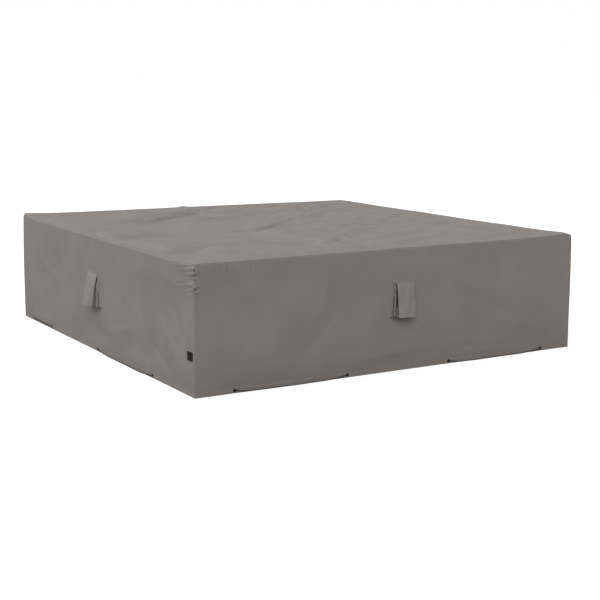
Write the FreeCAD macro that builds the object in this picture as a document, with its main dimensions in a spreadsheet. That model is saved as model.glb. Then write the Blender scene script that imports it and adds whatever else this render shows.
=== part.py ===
import FreeCAD, Part
import math
import os
import re

from FreeCAD import Placement, Rotation, Vector

# Square outdoor cover for a hot tub: five cloth panels over a box, four hooded air vents,
# a hem with eyelets, and a drawcord laced through them that ends in a spring cord lock.
# Frame: origin on the floor in the middle of the hem, +Z up, front side facing -Y.

doc = FreeCAD.newDocument("spa_cover")

# --- driving dimensions, in millimetres and degrees ------------------------------------------

DIMENSIONS = {
    "side_length": 2400,
    "cover_height": 650,
    "cloth": 1.0,
    "tape_width": 22,
    "tape_thick": 0.4,
    "hem_height": 28,
    "eyelet_height": 14,
    "eyelet_hole": 11,
    "eyelet_barrel": 12.2,
    "barrel_play": 0.2,
    "eyelet_flange": 18.5,
    "flange_thick": 0.8,
    "four_eyelet_pitch": 656,
    "three_eyelet_pitch": 720,
    "vent_width": 144,
    "vent_top": 468,
    "vent_bottom": 290,
    "vent_taper": 22,
    "vent_angle": 14,
    "hinge_stand": 1.3,
    "liner_margin": 5,
    "liner_thick": 1.0,
    "gusset_gap": 0.4,
    "window_width": 108,
    "window_height": 118,
    "window_bottom": 312,
    "mesh_overlap": 9,
    "mesh_thick": 0.6,
    "label_width": 55,
    "label_height": 45,
    "label_bottom": 176,
    "label_seam": 19,
    "label_thick": 0.9,
    "label_gap": 0.4,
    "cord_diameter": 4,
    "cord_gap": 1.4,
    "cord_spacing": 6,
    "cord_end": 50,
    "lock_diameter": 17,
    "lock_near_face": 25.5,
    "lock_wall": 2,
    "spring_length": 8,
    "spring_diameter": 9,
    "spring_wire": 0.8,
    "spring_turns": 4,
    "plunger_diameter": 11,
    "plunger_play": 0.3,
    "plunger_land": 6.5,
    "plunger_travel": 4,
    "lock_bevel": 1.5,
    "slot_height": 4.8,
    "slot_play": 0.1,
}

sheet = doc.addObject("Spreadsheet::Sheet", "Sheet")
for row, (alias, value) in enumerate(DIMENSIONS.items(), start=1):
    sheet.set(f"A{row}", alias)
    sheet.set(f"B{row}", str(value))
    sheet.setAlias(f"B{row}", alias)
doc.recompute()


def size(alias):
    """The value of one cell of the sheet."""
    return float(getattr(sheet, alias))


half = size("side_length") / 2
cloth = size("cloth")
nodes = []

# --- helpers ----------------------------------------------------------------------------------

# Each side is drawn as the front one and turned about the vertical axis to its own place.
SIDES = {"front": 0, "right": 90, "back": 180, "left": 270}
HALF_SIDE = "side_length / 2"

# The vents aren't sewn in quite evenly: how far each stands to the right and above its place.
VENT_SHIFTS = {"front": (19, 0), "right": (0, 0), "back": (0, 0), "left": (-54, -32)}


def turned(side):
    return Placement(Vector(0, 0, 0), Rotation(Vector(0, 0, 1), SIDES[side]))


def at_vent(side):
    """The frame of a side's vent: that of the side, moved to where the vent is."""
    along, above = VENT_SHIFTS[side]
    return turned(side).multiply(Placement(Vector(along, 0, above), Rotation()))


def eyelet_places(side):
    """Distances of a side's eyelets from the middle of the side, from left to right."""
    if side in ("front", "back"):
        return [n * size("four_eyelet_pitch") for n in (-1.5, -0.5, 0.5, 1.5)]
    return [n * size("three_eyelet_pitch") for n in (-1, 0, 1)]


def bind(item, rules):
    """Tie properties of an object to formulas in the sheet's names."""
    for name, formula in rules.items():
        names = {word for word in re.findall("[a-z_]+", formula) if word in DIMENSIONS}
        for word in names:
            formula = re.sub(rf"\b{word}\b", "Sheet." + word, formula)
        item.setExpression(name, formula)


def box(name, sizes, corner):
    """A block whose sizes and lowest corner are formulas."""
    item = doc.addObject("Part::Box", name)
    bind(item, dict(zip(("Length", "Width", "Height"), sizes)))
    bind(item, dict(zip(("Placement.Base.x", "Placement.Base.y", "Placement.Base.z"), corner)))
    return item


def drill(name, x, y, z):
    """The hole for an eyelet's barrel through a layer of cloth, along +Y."""
    item = doc.addObject("Part::Cylinder", name)
    item.Placement = Placement(Vector(x, 0, 0), Rotation(Vector(1, 0, 0), -90))
    bind(item, {"Radius": "(eyelet_barrel + barrel_play) / 2", "Height": "3 * cloth"})
    bind(item, {"Placement.Base.y": y, "Placement.Base.z": z})
    return item


def cut(name, base, tool):
    item = doc.addObject("Part::Cut", name)
    item.Base = base
    item.Tool = tool
    return item


def fuse(name, tools):
    item = doc.addObject("Part::MultiFuse", name)
    item.Shapes = tools
    return item


def held(name, item):
    """A wrapper that leaves an object's own placement to its formulas."""
    wrapper = doc.addObject("Part::Compound", name)
    wrapper.Links = [item]
    return wrapper


def shaped(name, shape):
    item = doc.addObject("Part::Feature", name)
    item.Shape = shape
    return item


def node(item, label, placement=Placement()):
    """Take an object as a finished piece, under its own name and in its own place."""
    item.Label = label
    item.Placement = placement.multiply(item.Placement)
    nodes.append(item)


# --- panels, hems and seam tapes --------------------------------------------------------------


def add_top_panel():
    sizes = ("side_length", "side_length", "cloth")
    corner = (f"-{HALF_SIDE}", f"-{HALF_SIDE}", "cover_height - cloth")
    node(held("top_layer", box("top_sheet", sizes, corner)), "top_panel")


def add_side_panel(side):
    """Each side panel butts against the next one at its right-hand end, like a pinwheel."""
    blank = box(
        f"{side}_sheet",
        ("side_length - cloth", "cloth", "cover_height - cloth"),
        (f"-{HALF_SIDE}", f"-{HALF_SIDE}", "0"),
    )
    along, above = VENT_SHIFTS[side]
    window = box(
        f"{side}_window",
        ("window_width", "3 * cloth", "window_height"),
        (f"{along} - window_width / 2", f"-{HALF_SIDE} - cloth", f"window_bottom + {above}"),
    )
    holes = [
        drill(f"{side}_panel_hole_{n}", x, f"-{HALF_SIDE} - cloth", "eyelet_height")
        for n, x in enumerate(eyelet_places(side), start=1)
    ]
    openings = fuse(f"{side}_panel_openings", [window] + holes)
    node(cut(f"{side}_skirt", blank, openings), f"{side}_panel", turned(side))


def add_hem(side):
    """The hem is the folded-up lower edge, a second layer on the inside of the panel."""
    blank = box(
        f"{side}_fold",
        ("side_length - 3 * cloth", "cloth", "hem_height"),
        (f"cloth - {HALF_SIDE}", f"cloth - {HALF_SIDE}", "0"),
    )
    holes = [
        drill(f"{side}_hem_hole_{n}", x, f"-{HALF_SIDE}", "eyelet_height")
        for n, x in enumerate(eyelet_places(side), start=1)
    ]
    node(cut(f"{side}_band", blank, fuse(f"{side}_hem_holes", holes)), f"{side}_hem", turned(side))


def angle_strip(length):
    """A tape folded into an inner corner: legs along +X and +Y, drawn out along +Z."""
    wide = size("tape_width")
    thick = size("tape_thick")
    corners = [(0, 0), (wide, 0), (wide, thick), (thick, thick), (thick, wide), (0, wide), (0, 0)]
    outline = Part.makePolygon([Vector(x, y, 0) for x, y in corners])
    return Part.Face(outline).extrude(Vector(0, 0, length))


def add_corner_tape(side, label):
    """Inside the vertical seam at a side's left-hand corner, from the hem to the top."""
    inset = half - cloth
    foot = size("hem_height")
    strip = shaped(f"{label}_strip", angle_strip(size("cover_height") - cloth - foot))
    strip.Placement = Placement(Vector(-inset, -inset, foot), Rotation())
    node(strip, label, turned(side))


def add_top_tape(side):
    """Inside the seam between a side panel and the top, between the corner tapes."""
    inset = half - cloth
    reach = inset - size("tape_width")
    strip = shaped(f"{side}_top_strip", angle_strip(2 * reach))
    inward_down_and_left = Rotation(Vector(0, 1, 0), Vector(0, 0, -1), Vector(-1, 0, 0), "XYZ")
    start = Vector(reach, -inset, size("cover_height") - cloth)
    strip.Placement = Placement(start, inward_down_and_left)
    node(strip, f"{side}_top_tape", turned(side))


# --- eyelets ----------------------------------------------------------------------------------


def ring(barrel_length):
    """An eyelet half about the Y axis: a domed flange towards -Y, and a barrel towards +Y."""
    inner = size("eyelet_hole") / 2
    outer = size("eyelet_flange") / 2
    wall = size("eyelet_barrel") / 2
    thick = size("flange_thick")
    rim = thick / 3
    dome = Part.Arc(
        Vector(inner, -rim, 0), Vector((inner + outer) / 2, -thick, 0), Vector(outer, -rim, 0)
    )
    corners = [(outer, -rim), (outer, 0)]
    if barrel_length > 0:
        corners += [(wall, 0), (wall, barrel_length), (inner, barrel_length)]
    else:
        corners += [(inner, 0)]
    corners += [(inner, -rim)]
    outline = Part.makePolygon([Vector(x, y, 0) for x, y in corners])
    section = Part.Face(Part.Wire([dome.toShape()] + outline.Edges))
    return section.revolve(Vector(0, 0, 0), Vector(0, 1, 0), 360)


def add_eyelets(side):
    """The outer halves, whose barrels pass both layers, and the washers on the inside."""
    layers = 2 * cloth
    washer = ring(0)
    washer.rotate(Vector(0, 0, 0), Vector(0, 0, 1), 180)
    kinds = {"eyelets": (ring(layers), -half), "eyelet_washers": (washer, layers - half)}
    for kind, (pattern, depth) in kinds.items():
        copies = []
        for x in eyelet_places(side):
            copy = pattern.copy()
            copy.translate(Vector(x, depth, size("eyelet_height")))
            copies.append(copy)
        group = shaped(f"{side}_{kind}_group", Part.makeCompound(copies))
        node(group, f"{side}_{kind}", turned(side))


# --- air vents --------------------------------------------------------------------------------

HOOD_LENGTH = "(vent_top - vent_bottom) / cos(vent_angle * 1 deg)"
vent_angle = math.radians(size("vent_angle"))


def trapezoid(name, low, high, depth):
    """A sheet narrower at its foot: (height, half width) of its foot and head, and its depths.

    Its widths lie along X, its heights along Z, and the depths count towards -Y."""
    item = doc.addObject("Part::Wedge", name)
    item.Placement = Placement(Vector(0, 0, 0), Rotation(Vector(1, 0, 0), 90))
    bind(item, {"Ymin": low[0], "Ymax": high[0]})
    bind(item, {"Xmin": f"-({low[1]})", "Xmax": low[1], "X2min": f"-({high[1]})", "X2max": high[1]})
    bind(item, {"Zmin": depth[0], "Zmax": depth[1], "Z2min": depth[0], "Z2max": depth[1]})
    return item


def add_hood(side):
    """The hood hangs from its top edge and stands out below; a plastic sheet stiffens it."""
    tilt = Placement(
        Vector(0, -half - size("hinge_stand"), size("vent_top")),
        Rotation(Vector(1, 0, 0), -size("vent_angle")),
    )
    hood = trapezoid(
        f"{side}_hood_sheet",
        (f"-{HOOD_LENGTH}", "vent_width / 2 - vent_taper"),
        ("0", "vent_width / 2"),
        ("0", "cloth"),
    )
    liner = trapezoid(
        f"{side}_liner_sheet",
        (f"liner_margin - {HOOD_LENGTH}", "vent_width / 2 - vent_taper - liner_margin"),
        ("-2 * liner_margin", "vent_width / 2 - 1.3 * liner_margin"),
        ("-liner_thick", "0"),
    )
    node(held(f"{side}_hood_layer", hood), f"{side}_vent_hood", at_vent(side).multiply(tilt))
    node(held(f"{side}_liner", liner), f"{side}_vent_stiffener", at_vent(side).multiply(tilt))


def add_gussets(side):
    """The pleated sides of the hood, drawn as flat wedges between the panel and the hood."""
    gap = size("gusset_gap")
    foot = size("vent_bottom")
    head = size("vent_top") - 4
    edge = size("vent_width") / 2

    def under_hood(z):
        """How far the inner face of the hood stands out at a height, less the gap."""
        return size("hinge_stand") + (size("vent_top") - z) * math.tan(vent_angle) - gap

    slant = math.atan(size("vent_taper") / under_hood(foot))
    wall = gap + cloth * math.sin(slant)
    outline = [(wall, foot), (under_hood(foot), foot), (under_hood(head), head), (wall, head)]
    for hand, word in ((-1, "left"), (1, "right")):
        corners = [
            Vector(hand * (edge - out * math.tan(slant)), -half - out, z) for out, z in outline
        ]
        inward = Vector(-hand * math.cos(slant), math.sin(slant), 0) * cloth
        plate = Part.Face(Part.makePolygon(corners + corners[:1])).extrude(inward)
        node(shaped(f"{side}_{word}_wedge", plate), f"{side}_vent_{word}_gusset", at_vent(side))


def add_mesh(side):
    """Insect mesh over the window, on the inside of the panel."""
    mesh = box(
        f"{side}_mesh_sheet",
        ("window_width + 2 * mesh_overlap", "mesh_thick", "window_height + 2 * mesh_overlap"),
        (
            "-window_width / 2 - mesh_overlap",
            f"cloth - {HALF_SIDE}",
            "window_bottom - mesh_overlap",
        ),
    )
    node(held(f"{side}_mesh_layer", mesh), f"{side}_vent_mesh", at_vent(side))


# --- label ------------------------------------------------------------------------------------


def add_label():
    """A small blank tag on the left side, sewn in beside the front corner seam."""
    tag = box(
        "label_sheet",
        ("label_thick", "label_width", "label_height"),
        (
            f"-{HALF_SIDE} - label_gap - label_thick",
            f"label_seam - {HALF_SIDE}",
            "label_bottom",
        ),
    )
    node(held("label_layer", tag), "label")


# --- drawcord ---------------------------------------------------------------------------------

cord_radius = size("cord_diameter") / 2
outside = half + cord_radius + size("cord_gap")
inside = half - 2 * cloth - cord_radius - size("cord_gap")
crossing = (outside - inside) / 2
eyelet_z = size("eyelet_height")
floor_z = cord_radius + 0.5
lock_z = size("lock_diameter") / 2
lock_lane = outside + 3
corner_out = half + 6
LOCK_BEND = 18
OUTER_CORNER_BEND = 12
INNER_CORNER_BEND = 15


def on_side(side, along, out, z):
    """A point by a side's own distances: to the right along it, and out from the middle."""
    return turned(side).multVec(Vector(along, -out, z))


def thread(side, place, outward):
    """The two route points of a cord that passes through an eyelet at 45 degrees."""
    depths = (inside, outside) if outward else (outside, inside)
    return [
        (on_side(side, place - crossing, depths[0], eyelet_z), None),
        (on_side(side, place + crossing, depths[1], eyelet_z), None),
    ]


def slack(side, start, end, ways):
    """A loose run outside: down to the floor beyond one eyelet, and up before the next."""
    drop = 62
    settle = 128
    span = end - start - 2 * settle
    points = [(start + drop, 2, 5.5), (start + settle, 3.5, floor_z)]
    points += [(start + settle + share * span, out, floor_z) for share, out in ways]
    points += [(end - settle, 3, floor_z), (end - drop, 1.5, 5.5)]
    return [(on_side(side, along, outside + out, z), None) for along, out, z in points]


def outer_corner(side, z):
    """Round the corner at a side's right-hand end, outside the cloth."""
    return [(on_side(side, corner_out, corner_out, z), OUTER_CORNER_BEND)]


def inner_corner(side):
    """Round the corner at a side's left-hand end, inside the hem."""
    return [(on_side(side, -inside, inside, eyelet_z), INNER_CORNER_BEND)]


def lock_end(hand):
    """One end of the cord, from beyond the lock to the run along the back hem."""
    lane = hand * size("cord_spacing") / 2
    return [
        (on_side("back", lane, half + size("cord_end"), lock_z), None),
        (on_side("back", lane, lock_lane, lock_z), LOCK_BEND),
        (on_side("back", hand * 62, lock_lane, floor_z), None),
        (on_side("back", hand * 150, lock_lane + 3, floor_z), None),
        (on_side("back", hand * 250, lock_lane, 4.5), None),
    ]


def drawcord_route():
    """From the lock at the back, in and out of the hem all the way round, and back to it."""
    front, right, back, left = (eyelet_places(side) for side in SIDES)
    wide = [(0.24, 7), (0.52, 3), (0.8, 6)]
    shy = [(0.3, 3), (0.56, 8), (0.78, 4)]
    return (
        lock_end(1)
        + thread("back", back[2], False)
        + thread("back", back[3], True)
        + outer_corner("back", 19)
        + thread("left", left[0], False)
        + thread("left", left[1], True)
        + slack("left", left[1], left[2], wide)
        + thread("left", left[2], False)
        + inner_corner("front")
        + thread("front", front[0], True)
        + slack("front", front[0], front[1], shy)
        + thread("front", front[1], False)
        + thread("front", front[2], True)
        + slack("front", front[2], front[3], wide)
        + thread("front", front[3], False)
        + inner_corner("right")
        + thread("right", right[0], True)
        + slack("right", right[0], right[1], shy)
        + thread("right", right[1], False)
        + thread("right", right[2], True)
        + outer_corner("right", 8)
        + thread("back", back[0], False)
        + thread("back", back[1], True)
        + lock_end(-1)[::-1]
    )


# The two loose ends beyond the lock, as points (across, out from the back panel, height).
TAILS = {
    "drawcord_tail_left": [
        (3, 50, 8.5), (3, 108, 8.5), (10, 150, 3.4), (27, 187, 2.5), (30, 226, 2.5), (46, 262, 2.5),
    ],
    "drawcord_tail_right": [
        (-3, 50, 8.5), (-3, 106, 8.5), (-9, 146, 3.2), (-8, 186, 2.5), (-24, 222, 2.5),
        (-47, 248, 2.5),
    ],
}


def rounded_path(route):
    """Straight runs joined by tangent arcs; an arc takes 0.45 of its shorter run at most."""
    points = [point for point, _ in route]
    edges = []
    radii = []
    start = points[0]
    for before, (point, bend), after in zip(points, route[1:-1], points[2:]):
        into = (point - before).normalize()
        away = (after - point).normalize()
        half_turn = into.getAngle(away) / 2
        shorter = min((point - before).Length, (after - point).Length)
        radius = min(0.45 * shorter / math.tan(half_turn), bend or math.inf)
        reach = radius * math.tan(half_turn)
        first = point - into * reach
        last = point + away * reach
        inward = (away - into).normalize()
        middle = point + inward * (radius / math.cos(half_turn) - radius)
        edges.append(Part.LineSegment(start, first).toShape())
        edges.append(Part.Arc(first, middle, last).toShape())
        radii.append(round(radius, 1))
        start = last
    edges.append(Part.LineSegment(start, points[-1]).toShape())
    return Part.Wire(edges), radii


def add_cord(label, route):
    """A round cord along a route, its volume checked against its section times its length."""
    path, radii = rounded_path(route)
    heading = route[1][0] - route[0][0]
    circle = Part.Wire(Part.Circle(route[0][0], heading, cord_radius).toShape())
    solid = path.makePipeShell([circle], True, False)
    share = solid.Volume / (math.pi * cord_radius**2 * path.Length)
    print(f"{label}: length {path.Length:.0f} mm, radii {radii}, volume share {share:.4f}")
    if abs(share - 1) > 0.01:
        raise RuntimeError(f"{label}: the tube's volume doesn't fit its length")
    node(shaped(f"{label}_tube", solid), label)


# --- cord lock --------------------------------------------------------------------------------

# The lock lies across the two cord ends. Its own X runs along the back side, from the closed
# end to the push button, and its origin is midway between the two cords.
CORDS = "(cord_spacing + cord_diameter) / 2"
PLUNGER_SLOT = "cord_spacing + cord_diameter + plunger_travel + 4 * slot_play"
PLUNGER_START = f"-{CORDS} - slot_play - plunger_land"
PLUNGER_LENGTH = f"2 * plunger_land + {PLUNGER_SLOT}"
SPRING_START = f"{PLUNGER_START} - spring_length"
BUTTON_FREE = "(plunger_travel + 0.5)"
BODY_LENGTH = f"lock_wall + spring_length + {PLUNGER_LENGTH} - {BUTTON_FREE}"


def lock_place():
    """The lock's own frame, on the two cords behind the back panel."""
    out = half + size("lock_near_face") + size("lock_diameter") / 2
    return turned("back").multiply(Placement(Vector(0, -out, lock_z), Rotation()))


def rod(name, diameter, length, start):
    """A cylinder along the lock's axis."""
    item = doc.addObject("Part::Cylinder", name)
    item.Placement = Placement(Vector(0, 0, 0), Rotation(Vector(0, 1, 0), 90))
    bind(item, {"Radius": f"({diameter}) / 2", "Height": length, "Placement.Base.x": start})
    return item


def rounded(name, item, ends):
    """Round a rod's outer edges at the given ends, the functions min or max of its reach."""
    doc.recompute()
    box_of = item.Shape.BoundBox
    reach = [end(box_of.XMin, box_of.XMax) for end in ends]
    bevel = size("lock_bevel")
    fillet = doc.addObject("Part::Fillet", name)
    fillet.Base = item
    fillet.Edges = [
        (number, bevel, bevel)
        for number, edge in enumerate(item.Shape.Edges, start=1)
        if edge.BoundBox.XLength < 0.01 and min(abs(edge.BoundBox.XMin - x) for x in reach) < 0.01
    ]
    return fillet


def slot(name, length, start):
    """The opening through which both cords pass."""
    sizes = (length, "2 * lock_diameter", "slot_height")
    return box(name, sizes, (start, "-lock_diameter", "-slot_height / 2"))


def add_cord_lock():
    barrel = rod("lock_barrel", "lock_diameter", BODY_LENGTH, f"{SPRING_START} - lock_wall")
    bore = rod("lock_bore", "plunger_diameter + 2 * plunger_play", BODY_LENGTH, SPRING_START)
    way = slot("lock_slot", f"2 * {CORDS} + 6 * slot_play", f"-{CORDS} - 5 * slot_play")
    hollow = fuse("lock_hollow", [bore, way])
    shell = cut("lock_shell", rounded("lock_barrel_rounded", barrel, [min, max]), hollow)
    node(shell, "cord_lock_body", lock_place())
    bar = rod("plunger_bar", "plunger_diameter", PLUNGER_LENGTH, PLUNGER_START)
    gate = slot("plunger_slot", PLUNGER_SLOT, f"-{CORDS} - slot_play")
    plunger = cut("plunger_gated", rounded("plunger_rounded", bar, [max]), gate)
    node(plunger, "cord_lock_plunger", lock_place())


def add_lock_spring():
    """A short coil behind the plunger."""
    cords = (size("cord_spacing") + size("cord_diameter")) / 2
    start = -cords - size("slot_play") - size("plunger_land") - size("spring_length")
    wire = size("spring_wire") / 2
    radius = size("spring_diameter") / 2 - wire
    length = size("spring_length") - 2 * wire
    helix = Part.makeHelix(length / size("spring_turns"), length, radius)
    circle = Part.Wire(Part.Circle(Vector(radius, 0, 0), Vector(0, 1, 0), wire).toShape())
    coil = shaped("spring_coil", Part.Wire(helix).makePipeShell([circle], True, True))
    coil.Placement = Placement(Vector(start + wire, 0, 0), Rotation(Vector(0, 1, 0), 90))
    node(coil, "cord_lock_spring", lock_place())


# --- the whole cover --------------------------------------------------------------------------

add_top_panel()
LEFT_CORNERS = {
    "front": "front_left_corner_tape",
    "right": "front_right_corner_tape",
    "back": "back_right_corner_tape",
    "left": "back_left_corner_tape",
}
for side in SIDES:
    add_side_panel(side)
    add_hem(side)
    add_corner_tape(side, LEFT_CORNERS[side])
    add_top_tape(side)
    add_eyelets(side)
    add_hood(side)
    add_gussets(side)
    add_mesh(side)
add_label()
add_cord("drawcord", drawcord_route())
for label, points in TAILS.items():
    add_cord(label, [(on_side("back", x, half + out, z), None) for x, out, z in points])
add_cord_lock()
add_lock_spring()

# --- checks and export ------------------------------------------------------------------------

doc.recompute()
for item in doc.Objects:
    if "Invalid" in item.State or "Error" in item.State:
        raise RuntimeError(f"{item.Name} did not compute")
os.makedirs("parts", exist_ok=True)
for item in nodes:
    if item.Shape.isNull() or not item.Shape.isValid():
        raise RuntimeError(f"{item.Label} has a faulty shape")
    item.Shape.exportStep(f"parts/{item.Label}.step")
print(f"{len(nodes)} pieces written")
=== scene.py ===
import math

import bpy
import numpy as np
from mathutils import Matrix, Vector


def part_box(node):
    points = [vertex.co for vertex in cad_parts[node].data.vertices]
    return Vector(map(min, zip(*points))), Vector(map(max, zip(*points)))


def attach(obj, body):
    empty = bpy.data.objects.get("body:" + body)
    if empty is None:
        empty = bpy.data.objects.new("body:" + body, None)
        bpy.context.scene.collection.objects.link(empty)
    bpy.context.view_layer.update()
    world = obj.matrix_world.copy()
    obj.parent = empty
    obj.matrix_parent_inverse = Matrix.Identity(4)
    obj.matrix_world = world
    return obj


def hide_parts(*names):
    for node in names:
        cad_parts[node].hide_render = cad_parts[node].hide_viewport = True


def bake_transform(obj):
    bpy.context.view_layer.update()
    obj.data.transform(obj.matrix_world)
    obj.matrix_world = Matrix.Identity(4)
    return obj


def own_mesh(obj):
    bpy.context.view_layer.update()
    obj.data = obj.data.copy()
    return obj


# The looks of a square hot tub cover: five panels of coated polyester over a box, four hooded
# air vents, a hem with eyelets, a laced drawcord and its lock. Everything is in metres.

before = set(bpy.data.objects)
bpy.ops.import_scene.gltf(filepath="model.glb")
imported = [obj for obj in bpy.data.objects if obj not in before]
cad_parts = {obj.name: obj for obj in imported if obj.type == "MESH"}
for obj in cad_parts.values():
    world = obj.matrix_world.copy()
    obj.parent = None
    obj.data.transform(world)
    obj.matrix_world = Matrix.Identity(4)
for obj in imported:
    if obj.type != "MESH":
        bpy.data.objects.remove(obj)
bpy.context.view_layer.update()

MM = 0.001
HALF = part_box("top_panel")[1].x
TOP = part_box("top_panel")[1].z
CLOTH = 1.0 * MM

# --- places on the sides ---

# Each side is laid out as the front one and turned about the vertical axis to its own place.
SIDES = {"front": 0, "right": 90, "back": 180, "left": 270}


def on_side(side, along, out, z):
    """Points by a side's own distances: to the right along it, and out from the middle."""
    angle = math.radians(SIDES[side])
    c, s = round(math.cos(angle)), round(math.sin(angle))
    along, out, z = np.broadcast_arrays(np.asarray(along, float), out, z)
    return np.stack([c * along + s * out, s * along - c * out, z], axis=-1)


def outward(side):
    """The direction out of a side."""
    return on_side(side, 0, 1, 0)


EYELETS = {"front": 4, "right": 3, "back": 4, "left": 3}
EYELET_PITCH = {3: 720 * MM, 4: 656 * MM}


def eyelet_places(side):
    """Distances of a side's eyelets from its middle, from left to right."""
    count = EYELETS[side]
    return [(n - (count - 1) / 2) * EYELET_PITCH[count] for n in range(count)]


# The vents aren't sewn in quite evenly: how far each stands to the right and above its place.
VENT_SHIFTS = {"front": (19, 0), "right": (0, 0), "back": (0, 0), "left": (-54, -32)}
VENT_SHIFTS = {side: (right * MM, above * MM) for side, (right, above) in VENT_SHIFTS.items()}


def at_vent(side, along, out, z):
    """Points by their distances from a side's even vent place."""
    right, above = VENT_SHIFTS[side]
    return on_side(side, along + right, out, z + above)


# --- camera ---

CAMERA_PLACE = (-3.81818, -6.42082, 1.53169)
CAMERA_AZIMUTH = math.radians(31.522)
CAMERA_DOWN = math.radians(10.199)
CAMERA_ROLL = math.radians(0.502)
CAMERA_LENS_MM = 75.26
CAMERA_SENSOR_MM = 36


def add_camera():
    """Turned to its azimuth and then down, and rolled about its own line of sight."""
    camera = bpy.data.objects.new("camera", bpy.data.cameras.new("camera"))
    bpy.context.collection.objects.link(camera)
    turn = Matrix.Rotation(-CAMERA_AZIMUTH, 4, "Z")
    turn = turn @ Matrix.Rotation(math.pi / 2 - CAMERA_DOWN, 4, "X")
    turn = turn @ Matrix.Rotation(CAMERA_ROLL, 4, "Z")
    camera.matrix_world = Matrix.Translation(CAMERA_PLACE) @ turn
    camera.data.lens = CAMERA_LENS_MM
    camera.data.sensor_width = CAMERA_SENSOR_MM
    camera.data.clip_end = 200
    bpy.context.scene.camera = camera


add_camera()

# --- cords ---

CORD_DIAMETER = 4 * MM
CORD_OUTSIDE = HALF + 3.4 * MM
CORD_INSIDE = HALF - 5.4 * MM
CROSSING = (CORD_OUTSIDE - CORD_INSIDE) / 2
EYELET_Z = 14 * MM
CORD_FLOOR = 2.5 * MM
LOCK_Z = 8.5 * MM
LOCK_LANE = CORD_OUTSIDE + 3 * MM
CORNER_OUT = HALF + 6 * MM
CORD_END = HALF + 50 * MM


def thread(side, eyelet, out):
    """The two route points of a cord that passes through an eyelet at 45 degrees."""
    depths = (CORD_INSIDE, CORD_OUTSIDE) if out else (CORD_OUTSIDE, CORD_INSIDE)
    place = eyelet_places(side)[eyelet]
    return [
        on_side(side, place + shift, depth, EYELET_Z)
        for shift, depth in zip((-CROSSING, CROSSING), depths)
    ]


def slack(side, eyelet, ways):
    """A loose run outside: down to the floor beyond an eyelet, and up before the next."""
    start, end = eyelet_places(side)[eyelet : eyelet + 2]
    drop, settle, low = 62 * MM, 128 * MM, 5.5 * MM
    span = end - start - 2 * settle
    points = [(start + drop, 2, low), (start + settle, 3.5, CORD_FLOOR)]
    points += [(start + settle + share * span, out, CORD_FLOOR) for share, out in ways]
    points += [(end - settle, 3, CORD_FLOOR), (end - drop, 1.5, low)]
    return [on_side(side, along, CORD_OUTSIDE + out * MM, z) for along, out, z in points]


def outer_corner(side, z):
    """Round the corner at a side's right-hand end, outside the cloth."""
    return [on_side(side, CORNER_OUT, CORNER_OUT, z)]


def inner_corner(side):
    """Round the corner at a side's left-hand end, inside the hem."""
    return [on_side(side, -CORD_INSIDE, CORD_INSIDE, EYELET_Z)]


def lock_end(hand):
    """One end of the cord, from beyond the lock to the run along the back hem."""
    points = [
        (3, CORD_END, LOCK_Z),
        (3, LOCK_LANE, LOCK_Z),
        (62, LOCK_LANE, CORD_FLOOR),
        (150, LOCK_LANE + 3 * MM, CORD_FLOOR),
        (250, LOCK_LANE, 4.5 * MM),
    ]
    return [on_side("back", hand * along * MM, out, z) for along, out, z in points]


def drawcord_route():
    """From the lock at the back, in and out of the hem all the way round, and back to it."""
    stops = [("back", 2), ("back", 3)]
    stops += [(side, n) for side in ("left", "front", "right") for n in range(EYELETS[side])]
    stops += [("back", 0), ("back", 1)]
    wide = [(0.24, 7), (0.52, 3), (0.8, 6)]
    shy = [(0.3, 3), (0.56, 8), (0.78, 4)]
    between_stops = {
        ("back", 3): outer_corner("back", 19 * MM),
        ("left", 1): slack("left", 1, wide),
        ("left", 2): inner_corner("front"),
        ("front", 0): slack("front", 0, shy),
        ("front", 2): slack("front", 2, wide),
        ("front", 3): inner_corner("right"),
        ("right", 0): slack("right", 0, shy),
        ("right", 2): outer_corner("right", 8 * MM),
    }
    route = lock_end(1)
    for n, stop in enumerate(stops):
        route += thread(*stop, out=n % 2 == 1)
        route += between_stops.get(stop, [])
    return route + lock_end(-1)[::-1]


# The two loose ends beyond the lock, as points of the row frame.
TAILS = {
    "drawcord_tail_left": [
        (-0.003, 1.250, 0.0085), (-0.003, 1.308, 0.0085), (-0.010, 1.350, 0.0034),
        (-0.027, 1.387, 0.0025), (-0.030, 1.426, 0.0025), (-0.046, 1.462, 0.0025),
    ],
    "drawcord_tail_right": [
        (0.003, 1.250, 0.0085), (0.003, 1.306, 0.0085), (0.009, 1.346, 0.0032),
        (0.008, 1.386, 0.0025), (0.024, 1.422, 0.0025), (0.047, 1.448, 0.0025),
    ],
}


def finish(piece, body, slot, *nodes):
    """Puts a piece on its body, in the place of those CAD nodes."""
    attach(piece, body)
    if nodes:
        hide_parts(*nodes)


def add_cord(name, points, node):
    """A round cord on a smooth curve with the route's points as its control points.

    Its thickness is in the points' radius, because a curve's box grows by that radius."""
    curve = bpy.data.curves.new(name, "CURVE")
    curve.dimensions = "3D"
    curve.resolution_u = 12
    curve.bevel_depth = 1
    curve.bevel_resolution = 3
    curve.use_fill_caps = True
    spline = curve.splines.new("NURBS")
    spline.points.add(len(points) - 1)
    for target, point in zip(spline.points, points):
        target.co = (*point, 1)
        target.radius = CORD_DIAMETER / 2
    spline.order_u = 3
    spline.use_endpoint_u = True
    cord = bpy.data.objects.new(name, curve)
    bpy.context.collection.objects.link(cord)
    finish(cord, "cover", "cord_braid", node)
    return cord


cords = {"drawcord_lacing": add_cord("drawcord_lacing", drawcord_route(), "drawcord")}
for node_name, tail_points in TAILS.items():
    piece_name = node_name + "_braid"
    cords[piece_name] = add_cord(piece_name, tail_points, node_name)

# --- meshes ---


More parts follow.
